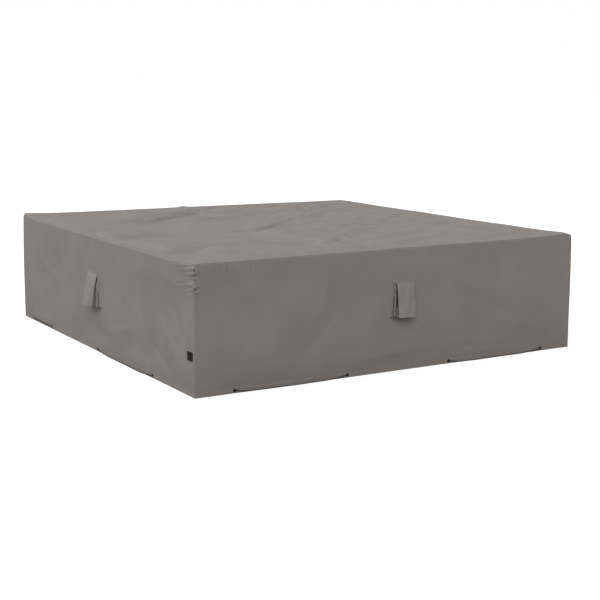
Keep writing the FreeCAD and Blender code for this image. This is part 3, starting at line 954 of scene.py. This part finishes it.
def eyelet_holes(side, along, z):
    """Which cells of a grid on a side are outside the eyelet holes; the rims become round."""
    middle_along = (along[1:, 1:] + along[:-1, :-1]) / 2
    middle_z = (z[1:, 1:] + z[:-1, :-1]) / 2
    keep = np.ones(middle_along.shape, bool)
    for place in eyelet_places(side):
        keep &= np.hypot(middle_along - place, middle_z - EYELET_Z) > HOLE_RADIUS
    gone = np.zeros(along.shape, int)
    for rows, columns in ((0, 0), (0, 1), (1, 0), (1, 1)):
        area = gone[rows : rows + keep.shape[0], columns : columns + keep.shape[1]]
        area += ~keep
    rim = (gone > 0) & (gone < 4)
    for place in eyelet_places(side):
        away = np.hypot(along - place, z - EYELET_Z)
        near = rim & (away < 2 * HOLE_RADIUS)
        along[near] = place + (along[near] - place) * HOLE_RADIUS / away[near]
        z[near] = EYELET_Z + (z[near] - EYELET_Z) * HOLE_RADIUS / away[near]
    return keep


# --- panels, hems and tapes ---


def faces_of(surface, *where, insets=(0, CLOTH)):
    """Both faces of a sheet on a surface, by how far they are under the cloth's outer face."""
    return [surface(*where, inset)[0] for inset in insets]


def add_panel(side):
    """A side's cloth, with its eyelet holes and the window behind its vent."""
    along, z = np.meshgrid(along_lines(side), height_lines())
    keep = eyelet_holes(side, along, z)
    right, above = VENT_SHIFTS[side]
    middle_along = (along[-1, 1:] + along[-1, :-1]) / 2 - right
    middle_z = (z[1:, 0] + z[:-1, 0]) / 2 - above
    inside = (middle_z > WINDOW_BOTTOM) & (middle_z < WINDOW_TOP)
    keep &= ~np.outer(inside, np.abs(middle_along) < WINDOW_EDGE)
    faces = faces_of(side_cloth, side, along, z)
    uv = np.stack([along, z], axis=-1)
    panel = add_sheet(f"{side}_cloth", *faces, uv, [cloth_face, cloth_back_and_slit_shade], keep)
    finish(panel, "cover", "cover_cloth", f"{side}_panel")


def add_top():
    """The top's cloth, stretched between the sides."""
    x, y = np.meshgrid(top_lines(), top_lines())
    faces = faces_of(top_cloth, x, y)
    top = add_sheet("top_cloth", *faces, np.stack([x, y], axis=-1), [cloth_face, cloth_back_and_slit_shade])
    finish(top, "cover", "cover_cloth", "top_panel")


HEM_GAP = 0.05 * MM


def add_hem(side):
    """The folded-up edge: a second layer on the inside of the panel."""
    z_lines = height_lines()
    along, z = np.meshgrid(along_lines(side), z_lines[z_lines < HEM + 0.5 * MM])
    keep = eyelet_holes(side, along, z)
    insets = (CLOTH + HEM_GAP, 2 * CLOTH - HEM_GAP)
    faces = faces_of(side_cloth, side, along, z, insets=insets)
    uv = np.stack([along, z], axis=-1)
    hem = add_sheet(f"{side}_hem_fold", *faces, uv, [cloth_back_and_slit_shade, cloth_face], keep)
    finish(hem, "cover", "cover_cloth", f"{side}_hem")


TAPE_INSETS = (1.15 * MM, 1.55 * MM)
TAPE_STEPS = np.array([22, 19.5, 16, 13.5, 11.5, 9, 6, 3, 0.8, 0]) * MM


def add_tape(node, first, second, lines, flip=False):
    """A strip of tape over a seam, from its faces on both sides of that."""
    faces = [np.concatenate([a, b[:, ::-1][:, 1:]], axis=1) for a, b in zip(first, second)]
    across = np.concatenate([-TAPE_STEPS, TAPE_STEPS[::-1][1:]])
    uv = np.stack(np.meshgrid(across, lines), axis=-1)
    tape = add_sheet(f"{node}_strip", *faces, uv, [tape_film], flip=flip)
    finish(tape, "cover", "seam_tape", node)


def add_corner_tape(side, node):
    """Inside the upright seam at a side's left-hand end, from the hem to the top."""
    before = list(SIDES)[list(SIDES).index(side) - 1]
    lines = height_lines()
    lines = lines[(lines > HEM - 0.5 * MM) & (lines < TOP - 0.5 * MM)]
    from_seam, z = np.meshgrid(TAPE_STEPS, lines)
    there = faces_of(side_cloth, before, HALF - from_seam, z, insets=TAPE_INSETS)
    here = faces_of(side_cloth, side, from_seam - HALF, z, insets=TAPE_INSETS)
    add_tape(node, there, here, lines)


def add_top_tape(side):
    """Inside the seam between a side and the top."""
    lines = along_lines(side)
    lines = lines[np.abs(lines) < HALF - TAPE_STEPS[0] + 0.1 * MM]
    under, along = np.meshgrid(TAPE_STEPS, lines)
    x, y, _ = np.moveaxis(on_side(side, along, HALF - under, TOP), -1, 0)
    below = faces_of(side_cloth, side, along, TOP - under, insets=TAPE_INSETS)
    above = faces_of(top_cloth, x, y, insets=TAPE_INSETS)
    add_tape(f"{side}_top_tape", below, above, lines, flip=True)


LEFT_CORNERS = {
    "front": "front_left", "right": "front_right", "back": "back_right", "left": "back_left",
}
add_top()
for side_name, corner in LEFT_CORNERS.items():
    add_panel(side_name)
    add_hem(side_name)
    add_corner_tape(side_name, f"{corner}_corner_tape")
    add_top_tape(side_name)

# --- eyelets ---

# Radii of an eyelet's hole, barrel and flange.
EYELET_HOLE, EYELET_BARREL, EYELET_FLANGE = 5.5 * MM, 6.1 * MM, 9.25 * MM
WASHER_LIFT = 0.3 * MM


def lathe(outline, steps=40):
    """A ring turned about the Y axis from a closed outline of (radius, y): (points, faces)."""
    radius, y = np.transpose(outline)
    angle = np.linspace(0, 2 * math.pi, steps, endpoint=False)[:, None]
    points = np.stack([radius * np.cos(angle), y + 0 * angle, radius * np.sin(angle)], axis=-1)
    return points.reshape(-1, 3), rod(steps, len(outline), ring_shaped=True)


def arc(middle, radii, start, end, steps):
    """Points of part of an ellipse, by angles in degrees."""
    angles = np.radians(np.linspace(start, end, steps))
    return [
        (middle[0] + radii[0] * math.cos(a), middle[1] + radii[1] * math.sin(a)) for a in angles
    ]


def flange_outline(barrel):
    """Half of an eyelet in section: a rolled dome towards -Y, and a barrel that far towards +Y."""
    rim = (EYELET_HOLE + EYELET_FLANGE) / 2
    back = 0.1 * MM
    dome = arc((rim, -back), (EYELET_FLANGE - rim, 0.95 * MM), 180, 360, 13)
    if not barrel:
        return dome + [(EYELET_FLANGE, back), (EYELET_HOLE, back)]
    return dome + [
        (EYELET_FLANGE, back),
        (EYELET_BARREL, back),
        (EYELET_BARREL, barrel - 0.3 * MM),
        (EYELET_BARREL + 0.5 * MM, barrel + 0.55 * MM),
        (EYELET_BARREL + 0.1 * MM, barrel + 0.8 * MM),
        (EYELET_HOLE + 0.1 * MM, barrel),
        (EYELET_HOLE, barrel / 2),
    ]


def add_eyelets(side):
    """The outer halves, whose barrels pass both layers, and the washers on the inside."""
    for kind, barrel, depth, turn in (
        ("eyelets", 2 * CLOTH, HALF + HEM_STEP, 1),
        ("eyelet_washers", 0, HALF - 2 * CLOTH + WASHER_LIFT, -1),
    ):
        ring, faces = lathe(flange_outline(barrel))
        along, out, z = turn * ring[:, 0], depth - turn * ring[:, 1], EYELET_Z + ring[:, 2]
        parts = [(on_side(side, place + along, out, z), faces) for place in eyelet_places(side)]
        piece = add_mesh(f"{side}_{kind}_turned", *joined_meshes(parts), [black_paint])
        finish(piece, "cover", "eyelet_metal", f"{side}_{kind}")


# --- air vents ---

VENT_ANGLE = math.radians(14)
HINGE_OUT = HALF + 1.3 * MM
HOOD_DROP = VENT_TOP - VENT_BOTTOM
HOOD_HEM = 13 * MM
HEADER_HEIGHT = 11 * MM
# How far a hood stands off at its hinge line, bulges, waves and curls in at a lower corner.
PUFF, BULGE, WAVE, CURL = 3.5 * MM, 4.5 * MM, 1.2 * MM, 26 * MM
ON_PANEL = HALF + 0.45 * MM
# The hoods hang a little askew: where the left edge is at the top and at the mouth, then the
# right edge, in mm from the middle.
HOOD_EDGES = {
    "front": (-46, -52, 67, 46),
    "right": (-62, -54, 64, 52),
    "back": (-60, -52, 62, 58),
    "left": (-68, -46, 72, 61),
}
# Where their gussets are sewn to the panel, in the same order.
GUSSET_WALLS = {
    "front": (-77, -85, 62, 44),
    "right": (-78, -88, 78, 95),
    "back": (-76, -92, 78, 86),
    "left": (-62, -44, 76, 122),
}
# The gussets that are folded away behind their hoods.
TUCKED = [("front", 1), ("left", -1)]
# Which of a hood's lower corners curls in.
CURLED = {"front": -1, "right": 1, "back": -1, "left": 1}


def between(ends, hand, depth):
    """A place between the top and the mouth, on the left or the right, of four given in mm."""
    top, mouth = ends[:2] if hand < 0 else ends[2:]
    return (top + (mouth - top) * depth) * MM


def hood_edge(side, hand, down):
    """Where a hood's left (-1) or right (1) edge is, at a distance below the hinge line."""
    return between(HOOD_EDGES[side], hand, np.clip(down / HOOD_DROP, 0, 1))


def hood_out(side, u, down):
    """How far out a hood's face stands; u goes from -1 at its left edge to 1 at its right."""
    share = np.clip(down / HOOD_DROP, 0, 1)
    wave = ripple(4, 0.16, 0.05, 300 + SIDES[side])(0.07 * u + 0.5 * down)
    out = HINGE_OUT + CLOTH + down * math.tan(VENT_ANGLE) + PUFF * smooth(down, 0, 30 * MM)
    out = out + BULGE * (1 - u**2) * np.sin(math.pi * share**0.8)
    out = out + WAVE * wave * smooth(share, 0.05, 0.5)
    past_fold = 0.5 * (u * CURLED[side] + 1.25 * share - 1.3)
    return out - CURL * (past_fold + np.hypot(past_fold, 0.03)) / 2


def hood_place(side, u, down):
    """Points on a hood's face."""
    left, right = (hood_edge(side, hand, down) for hand in (-1, 1))
    along = left + (right - left) * (u + 1) / 2
    return at_vent(side, along, hood_out(side, u, down), VENT_TOP - down)


def hood_normal(side):
    """The direction out of a hood's face."""
    return on_side(side, 0, math.cos(VENT_ANGLE), math.sin(VENT_ANGLE))


HOOD_HALF_WIDTH = 60 * MM
HOOD_INNER = 0.8 * CLOTH
# Distances above and below the hinge line; the points worked out with them are not used.
BEND_ABOVE, BEND_BELOW = 1 * MM, 9 * MM
HOOD_STITCH_LINE = HOOD_DROP - HOOD_HEM
HEADER_LEVELS = np.array([11, 10, 8, 6.5, 5, 3, 1, 0]) * MM
FROM_HOOD_EDGE = np.array([0, 0.4, 1, 2, 3.5, 5, 6, 7, 9, 12]) * MM / HOOD_HALF_WIDTH
ROUND_HOOD_STITCHES = np.array([-1.5, 0, 1.5, 3, 6, 9, 11, 12, 12.7, 13]) * MM


def header_face(side, u, above):
    """Points of the header's face, with a stitched groove and its edge turned in."""
    out = ON_PANEL + CLOTH + 0.4 * MM * hump(above, 5 * MM, 2 * MM)
    out = out - 0.8 * MM * hump(above, HEADER_HEIGHT, 1 * MM)
    return at_vent(side, u * VENT_EDGE, out, VENT_TOP + above)


def hanging_face(side, u, down):
    """Points of the hanging part's face, with turned edges and a stitched hem."""
    from_edge = (1 - np.abs(u)) * HOOD_HALF_WIDTH
    rise = 0.5 * MM * hump(from_edge, 6 * MM, 1 * MM) - 1.5 * MM * np.exp(-from_edge / (1.6 * MM))
    rise += 0.8 * MM * smooth(down, HOOD_STITCH_LINE, HOOD_STITCH_LINE + 2 * MM)
    rise -= 0.5 * MM * hump(down, HOOD_STITCH_LINE, 1.4 * MM)
    rise *= smooth(down, 0, 8 * MM)
    return hood_place(side, u, down) + outward(side) * rise[..., None]


def add_hood(side):
    """The hood is one piece of cloth with its header, a strip sewn flat above the hinge line."""
    near_hinge = np.linspace(1.6 * MM, 15 * MM, 8)
    middle = np.linspace(18 * MM, HOOD_STITCH_LINE - 3 * MM, 30)
    drop = np.concatenate([near_hinge, middle, HOOD_STITCH_LINE + ROUND_HOOD_STITCHES])
    across = [FROM_HOOD_EDGE - 1, np.linspace(-0.76, 0.76, 25), (1 - FROM_HOOD_EDGE)[::-1]]
    u_lines = np.concatenate(across)
    hanging = hanging_face(side, *np.meshgrid(u_lines, drop))
    sewn = header_face(side, *np.meshgrid(u_lines, HEADER_LEVELS))
    outer = np.concatenate([sewn, hanging])
    under = [sewn - outward(side) * HOOD_INNER, hanging - hood_normal(side) * CLOTH]
    levels = np.concatenate([HEADER_LEVELS, -drop])
    uv = np.stack(np.meshgrid(u_lines * HOOD_HALF_WIDTH, levels), axis=-1)
    cloths = [cloth_face, cloth_back_and_slit_shade]
    hood = add_sheet(
        f"{side}_vent_hood_cloth", outer, np.concatenate(under), uv, cloths, flip=True
    )
    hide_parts(f"{side}_vent_hood")
    at_vent(side, 0, HINGE_OUT, VENT_TOP + BEND_ABOVE)
    at_vent(side, 0, HINGE_OUT, VENT_TOP - BEND_BELOW)
    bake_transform(hood)


STIFFENER_UNDER, STIFFENER_THICK = CLOTH + 0.2 * MM, 0.9 * MM


def add_stiffener(side):
    """A plastic sheet behind the hood, a little smaller than it and bent as it is."""
    heights = np.linspace(14 * MM, HOOD_DROP - 6 * MM, 25)
    u, down = np.meshgrid(np.linspace(-0.9, 0.9, 21), heights)
    outer = hood_place(side, u, down) - hood_normal(side) * STIFFENER_UNDER
    inner = outer - hood_normal(side) * STIFFENER_THICK
    uv = np.stack([u, down], axis=-1)
    sheet = add_sheet(
        f"{side}_vent_stiffener_sheet", outer, inner, uv, [grey_plastic], flip=True
    )
    finish(sheet, f"{side}_vent", "stiffener_sheet", f"{side}_vent_stiffener")


# The gussets' middle pleat, as a share of the hood's height above the panel at the top and at
# the mouth, how much the cloth is crushed, in mm, and how far down that starts.
PLEATS = {"front": (0.92, 0.5), "right": (0.8, 0.6), "back": (0.7, 0.7), "left": (0.6, 0.8)}
CRUSH = {"front": 2.4, "right": 2.4, "back": 2.8, "left": 3.4}
CRUSHED_FROM = {"front": 0.7, "right": 0.6, "back": 0.65, "left": 0.5}
GUSSET_WIDTH, GUSSET_THICK = 60 * MM, 0.55 * MM


def tucked_gusset(side, hand, along, height, share, depth):
    """Points of a gusset that is folded up behind its hood, its folds deeper lower down."""
    fold = (2 + 14 * depth) * MM * np.abs(np.sin(2 * math.pi * share)) ** 0.85
    out = ON_PANEL + height * share
    return at_vent(side, along - hand * fold, out, VENT_TOP - depth * HOOD_DROP)


def gusset_points(side, hand, share, depth):
    """Points of a gusset, by their shares of the way to the hood and of the way to the mouth."""
    down = depth * HOOD_DROP
    wall = between(GUSSET_WALLS[side], hand, depth)
    edge = hood_edge(side, hand, down) - hand * 0.9 * MM
    along = wall + (edge - wall) * share
    height = hood_out(side, 0.97 * hand, down) - 1.8 * MM - ON_PANEL
    if (side, hand) in TUCKED:
        return tucked_gusset(side, hand, along, height, share, depth)
    seed = 400 + SIDES[side] + (3 if hand > 0 else 0)
    crush, tuck = ripple(3, 0.034, 0.022, seed), ripple(3, 0.09, 0.04, seed + 1)
    # in section: a low lip by the panel, a ridge in the middle, and a rise to the hood
    top, mouth = PLEATS[side]
    ridge = (top + (mouth - top) * depth + 0.08 * tuck(down)) * hump(share, 0.49, 0.1)
    lip = (0.75 - 0.4 * depth) * hump(share, 0.13, 0.07)
    profile = (smooth(share, 0.84, 1) + ridge + lip) * smooth(share, 0, 0.06)
    # towards the mouth the section flattens and crumples
    crushed = smooth(depth, CRUSHED_FROM[side] - 0.08, CRUSHED_FROM[side] + 0.1)
    profile = profile + 0.8 * crushed * (share - profile)
    ends = smooth(share, 0, 0.12) * (1 - smooth(share, 0.88, 1))
    loose = CRUSH[side] * MM * crushed * ends
    out = ON_PANEL + height * profile
    out = out + loose * (2.2 * np.abs(crush(down - 0.02 * share)) - 0.5)
    # and the ridge and lip lean outwards over the slits beside them
    lean = 5 * ridge + 3 * lip + 15 * np.sin(math.pi * np.clip((share - 0.57) / 0.43, 0, 1))
    lean = lean * MM * smooth(depth, 0, 0.15) * (1 - 0.7 * crushed)
    along = along + loose * 0.8 * crush(down - 0.04 * share + 0.01) - hand * lean
    z = VENT_TOP - down + 0.5 * loose * crush(down - 0.03 * share)
    return at_vent(side, along, np.maximum(out, ON_PANEL), z)


# Painted shade: the slits beside the ridge and under the hood, as shares of the way to the hood.
PAINTED_SHADE_SLITS = [(0.2, 0.41), (0.57, 0.94)]


def paint_valley_shade(gusset):
    """Painted shade: the slits beside a gusset's ridge get the cloth's dark back material."""
    mesh = gusset.data
    uv = np.zeros(2 * len(mesh.loops), np.float32)
    mesh.uv_layers["cloth"].data.foreach_get("uv", uv)
    share = uv.reshape(-1, 4, 2)[..., 0].mean(axis=1) / GUSSET_WIDTH
    slits = np.any([(share > start) & (share < end) for start, end in PAINTED_SHADE_SLITS], axis=0)
    index = np.zeros(len(mesh.polygons), np.int32)
    mesh.polygons.foreach_get("material_index", index)
    mesh.polygons.foreach_set("material_index", np.where(slits, 1, index).astype(np.int32))


def add_gusset(side, hand):
    """A pleated side of a hood: a ridge between two slits, crumpled towards the mouth."""
    share, depth = np.meshgrid(np.linspace(0, 1, 49), np.linspace(0.01, 1, 52))
    outer = gusset_points(side, hand, share, depth)
    inner = outer - grid_normals(outer) * hand * GUSSET_THICK
    uv = np.stack([share * GUSSET_WIDTH, -depth * HOOD_DROP], axis=-1)
    word = "right" if hand > 0 else "left"
    gusset = add_sheet(
        f"{side}_vent_{word}_pleats", outer, inner, uv, [cloth_face, cloth_back_and_slit_shade], flip=hand < 0
    )
    # Painted shade: the slit cells take the dark back material.
    paint_valley_shade(gusset)
    finish(gusset, "cover", "cover_cloth", f"{side}_vent_{word}_gusset")
    outward(side)
    at_vent(side, 0, ON_PANEL, VENT_TOP)
    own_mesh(gusset)


NET_PITCH, YARN_WIDTH, YARN_THICK = 2.4 * MM, 0.42 * MM, 0.3 * MM
NET_MARGIN = 9 * MM


def yarn(side, along, out, z):
    """A thin square bar at a side's vent, between two values of each coordinate."""
    corners = [(a, b, c) for a in along for b in out for c in z]
    faces = [(0, 2, 3, 1), (4, 5, 7, 6), (0, 1, 5, 4), (2, 6, 7, 3), (0, 4, 6, 2), (1, 3, 7, 5)]
    return at_vent(side, *np.transpose(corners)), faces


def add_net(side):
    """Insect net over the window, on the inside of the panel: two crossing sets of yarns."""
    lo, hi = WINDOW_BOTTOM - NET_MARGIN, WINDOW_TOP + NET_MARGIN
    reach, width = WINDOW_EDGE + NET_MARGIN, np.array([-0.5, 0.5]) * YARN_WIDTH
    near, far = (
        HALF - CLOTH - depth + np.array([-0.5, 0.5]) * YARN_THICK for depth in (0.2 * MM, 0.46 * MM)
    )
    uprights = np.arange(-reach, reach + MM, NET_PITCH)
    levels = np.arange(lo, hi + MM, NET_PITCH)
    yarns = [yarn(side, x + width, near, (lo, hi)) for x in uprights]
    yarns += [yarn(side, (-reach, reach), far, z + width) for z in levels]
    net = add_mesh(f"{side}_vent_net", *joined_meshes(yarns), [net_yarn])
    net.data.polygons.foreach_set("use_smooth", np.zeros(len(net.data.polygons), bool))
    finish(net, "cover", "mesh_cloth", f"{side}_vent_mesh")


# --- stitching ---

# The pitch, length and width of stitches.
STITCH, LABEL_STITCH = (7.5 * MM, 5.4 * MM, 0.75 * MM), (3.2 * MM, 2.3 * MM, 0.5 * MM)


def stitches(line, out, size=STITCH):
    """Sunken-ended stitches along a line of points with their outward directions."""
    pitch, length, width = size
    out = np.broadcast_to(np.asarray(out, float), np.shape(line))
    gone = np.concatenate([[0], np.cumsum(np.linalg.norm(np.diff(line, axis=0), axis=1))])
    middles = np.arange(pitch / 2, gone[-1], pitch)
    at = middles[:, None] + np.array([-0.5, -0.22, 0.22, 0.5]) * length
    spots, outs = (
        np.stack([np.interp(at, gone, values[:, n]) for n in range(3)], axis=-1)
        for values in (line, out)
    )
    outs /= np.linalg.norm(outs, axis=-1, keepdims=True)
    run = spots[:, -1:] - spots[:, :1]
    run = run / np.maximum(np.linalg.norm(run, axis=-1, keepdims=True), 1e-9)
    across = np.cross(outs, np.broadcast_to(run, outs.shape))
    spots = spots + outs * (np.array([-0.45, 0.3, 0.3, -0.45]) * width)[:, None]
    radii = np.array([0.55, 1.0, 1.0, 0.55]) * width / 2
    angles = np.radians([18, 90, 162, 234, 306])[:, None]
    ring = across[:, :, None] * np.cos(angles) + outs[:, :, None] * np.sin(angles)
    points = spots[:, :, None] + ring * radii[:, None, None]
    rods = [rod(len(radii), len(angles), start=n * radii.size * angles.size) for n in range(len(at))]
    return points.reshape(-1, 3), sum(rods, [])


def add_cover_stitches():
    """The stitches of the hems, seams, windows and headers."""
    parts = []
    steps = np.linspace(-1, 1, 700)
    up = np.linspace(34 * MM, TOP - 12 * MM, 160)
    hem, ends = np.full(700, HEM_STITCH), np.ones(160)
    sewn = WINDOW_EDGE + 5 * MM
    tall = np.array([WINDOW_BOTTOM - 5 * MM, WINDOW_TOP + 5 * MM])
    header = np.array([4 * MM - VENT_EDGE, VENT_EDGE - 4 * MM])
    vent_lines = [(np.array([-sewn, sewn]), HALF, z) for z in tall]
    vent_lines += [(along, HALF, tall) for along in (-sewn, sewn)]
    vent_lines += [(header, ON_PANEL + CLOTH + 0.15 * MM, VENT_TOP + n * MM) for n in (7.5, 3)]
    for side in SIDES:
        parts.append(stitches(*side_cloth(side, steps * (HALF - 13 * MM), hem)))
        for seam in (BAND_LEFT - HALF, HALF - BAND_RIGHT):
            parts.append(stitches(*side_cloth(side, seam * ends, up)))
        on_top = on_side(side, steps * (HALF - 12 * MM), HALF - BAND_TOP, TOP)
        parts.append(stitches(*top_cloth(on_top[:, 0], on_top[:, 1])))
        parts += [stitches(at_vent(side, *line), outward(side)) for line in vent_lines]
    piece = add_mesh("cover_stitching", *joined_meshes(parts), [sewing_thread])
    finish(piece, "cover", "cover_cloth")


def add_hood_stitches(side):
    """The stitches along a hood's hem and its two edges."""
    across = np.linspace(-0.9, 0.9, 40)
    tall = np.linspace(12 * MM, HOOD_STITCH_LINE - 6 * MM, 40)
    normal = hood_normal(side)
    hem = hood_place(side, across, np.full(40, HOOD_STITCH_LINE)) - normal * 0.3 * MM
    edges = [hood_place(side, np.full(40, u), tall) + normal * 0.3 * MM for u in (-0.9, 0.9)]
    parts = [stitches(line, normal) for line in [hem, *edges]]
    piece = add_mesh(f"{side}_vent_stitching", *joined_meshes(parts), [sewing_thread])
    finish(piece, f"{side}_vent", "cover_cloth")


# --- label ---


LABEL_CURL, LABEL_THICK, LABEL_SEWN = 2.6 * MM, 0.9 * MM, 3 * MM


def add_label():
    """A blank woven tag folded in two, sewn down at its edge beside the corner seam."""
    lo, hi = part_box("label")
    wide, tall = hi.y - lo.y, hi.z - lo.z
    near = np.array([0, 0.3, 0.9, 2, 4]) * MM
    across = np.concatenate([near, np.linspace(7 * MM, wide - 6 * MM, 16), (wide - near)[::-1]])
    up = np.concatenate([near, np.linspace(6 * MM, tall - 6 * MM, 12), (tall - near)[::-1]])
    from_seam, height = np.meshgrid(across, up)
    nearest = np.minimum.reduce([from_seam, wide - from_seam, height, tall - height])
    loose = smooth(from_seam, 8 * MM, wide)
    curl = LABEL_CURL * loose**2 * (0.6 + 0.8 * height / tall)
    curl = curl + 0.25 * MM * np.sin(height * 260)
    rim = 0.35 * MM * np.exp(-nearest / (0.5 * MM))
    ridge = 0.18 * MM * hump(nearest, 3 * MM, 0.7 * MM)
    outs = [curl + LABEL_THICK - rim - ridge, curl + 0.05 * MM + rim]
    faces = [np.stack([hi.x - out, lo.y + from_seam, lo.z + height], axis=-1) for out in outs]
    uv = np.stack([from_seam, height], axis=-1)
    tag = add_sheet("blank_label", *faces, uv, [label_weave], flip=True)
    finish(tag, "label_tag", "label_cloth", "label")
    ends = [(lo.x, lo.y + LABEL_SEWN, z) for z in (lo.z + LABEL_SEWN, hi.z - LABEL_SEWN)]
    line = np.linspace(*ends, 12)
    parts = stitches(line, (-1, 0, 0), LABEL_STITCH)
    sewn = add_mesh("label_stitching", *parts, [sewing_thread])
    finish(sewn, "label_tag", "label_cloth")


# --- knots, lock and hardware ---


def tube(path, radius, around=12, ring_shaped=True):
    """A tube along a path of points, which is either a closed ring or capped at both ends."""
    ring_run = np.roll(path, -1, axis=0) - np.roll(path, 1, axis=0)
    run = ring_run if ring_shaped else np.gradient(path, axis=0)
    run /= np.linalg.norm(run, axis=1, keepdims=True)
    side = np.cross(run, path - path.mean(axis=0) + 1e-6)
    side /= np.linalg.norm(side, axis=1, keepdims=True)
    angle = np.linspace(0, 2 * math.pi, around, endpoint=False)[:, None]
    ring = side[:, None] * np.cos(angle) + np.cross(run, side)[:, None] * np.sin(angle)
    points = (path[:, None] + ring * radius).reshape(-1, 3)
    return points, rod(len(path), around, ring_shaped=ring_shaped)


KNOT_Z, KNOT_TURN = 5.4 * MM, 0.6


def add_knot(node):
    """An overhand knot pulled tight at the end of a loose cord."""
    t = np.linspace(0, 2 * math.pi, 90, endpoint=False)
    size = 1.55 * MM
    x, y = size * (np.sin(t) + 2 * np.sin(2 * t)), size * (np.cos(t) - 2 * np.cos(2 * t))
    path = np.stack([x, y, -1.9 * MM * np.sin(3 * t)], axis=-1)
    path = path @ np.array(Matrix.Rotation(KNOT_TURN, 3, "Z")).T + (*TAILS[node][-1][:2], KNOT_Z)
    knot = add_mesh(f"{node}_knot", *tube(path, CORD_DIAMETER / 2 * 0.95), [cord_yarn])
    finish(knot, "cover", "cord_braid")


SPRING_TURNS, SPRING_WIRE, PLUNGER_TRAVEL = 4, 0.8 * MM, 4 * MM


def add_spring():
    """The coil behind the lock's plunger, at the full length of the CAD spring's box."""
    lo, hi = (np.array(corner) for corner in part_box("cord_lock_spring"))
    length, (_, y, z) = hi[0] - lo[0], (lo + hi) / 2
    radius = (hi[2] - lo[2] - SPRING_WIRE) / 2
    share = np.linspace(0, 1, 28 * SPRING_TURNS + 1)
    angle = 2 * math.pi * SPRING_TURNS * share
    x = lo[0] + SPRING_WIRE / 2 + (length - SPRING_WIRE) * share
    path = np.stack([x, y + radius * np.cos(angle), z + radius * np.sin(angle)], axis=-1)
    wire = tube(path, SPRING_WIRE / 2, 10, ring_shaped=False)
    coil = add_mesh("cord_lock_spring_coil", *wire, [spring_wire])
    finish(coil, "cord_lock", "spring_steel", "cord_lock_spring")
    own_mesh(coil)


def finish_hardware():
    """Gives the CAD nodes that stay their material."""
    for name in ("cord_lock_body", "cord_lock_plunger"):
        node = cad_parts[name]
        node.data.materials.clear()
        node.data.materials.append(black_plastic)


for side_name in SIDES:
    add_eyelets(side_name)
    add_hood(side_name)
    add_stiffener(side_name)
    add_hood_stitches(side_name)
    for hand_sign in (-1, 1):
        add_gusset(side_name, hand_sign)
    add_net(side_name)
add_cover_stitches()
add_label()
for node_name in TAILS:
    add_knot(node_name)
add_spring()
finish_hardware()

# --- floor and light ---


def add_stage():
    """A pale floor, whiter to the camera than its own light makes it, but not under the cover."""
    shader = Shader("studio_floor")
    speck = shader.noise(shader.body, 1.5)
    shader.put(shader.sockets["Base Color"], shader.ramp(speck, *grey(0.41, 0.45)))
    away = [shader.math("ABSOLUTE", n) for n in shader.parts(shader.body)]
    outside = shader.math("GREATER_THAN", shader.math("MAXIMUM", *away), HALF)
    seen = shader.math("MULTIPLY", shader.node("LightPath", output="Is Camera Ray"), outside)
    glow = shader.math("MULTIPLY", seen, FLOOR_GLOW)
    shader.put(shader.sockets["Emission Strength"], glow)
    shader.put(shader.sockets["Emission Color"], (1, 1, 1, 1))
    shader.put(shader.sockets["Roughness"], 0.95)
    shader.put(shader.sockets["Specular IOR Level"], 0.1)
    reach = 60
    corners = [(-reach, -reach, 0), (reach, -reach, 0), (reach, reach, 0), (-reach, reach, 0)]
    add_mesh("floor", corners, [(0, 1, 2, 3)], [shader.material])


def add_lights():
    """Two broad soft lights, both high on the left."""
    for name, toward in LIGHTS.items():
        lamp = bpy.data.lights.new(name, "SUN")
        lamp.angle = LIGHT_SPREAD
        lamp.energy = Vector(toward).length
        item = bpy.data.objects.new(name, lamp)
        bpy.context.collection.objects.link(item)
        item.rotation_mode = "QUATERNION"
        item.rotation_quaternion = (-Vector(toward)).to_track_quat("-Z", "Y")


def add_world():
    """White for the camera, and a softer fill for everything else."""
    world = bpy.data.worlds.new("studio")
    world.use_nodes = True
    bpy.context.scene.world = world
    nodes, links = world.node_tree.nodes, world.node_tree.links
    nodes["Background"].inputs["Color"].default_value = (1, 1, 1, 1)
    rays, strength = nodes.new("ShaderNodeLightPath"), nodes.new("ShaderNodeMapRange")
    strength.inputs["To Min"].default_value = WORLD_FILL
    strength.inputs["To Max"].default_value = 1.0
    links.new(rays.outputs["Is Camera Ray"], strength.inputs["Value"])
    links.new(strength.outputs[0], nodes["Background"].inputs["Strength"])


FLOOR_GLOW = 0.72
WORLD_FILL = 0.22
LIGHT_SPREAD = math.radians(60)
# Each points to its light, and is as long as that is strong.
LIGHTS = {"front_left_light": (-0.8, -1.48, 1.45), "back_left_light": (-0.88, 1.2, 1.5)}
add_stage()
add_lights()
add_world()
bpy.context.scene.view_settings.view_transform = "Standard"
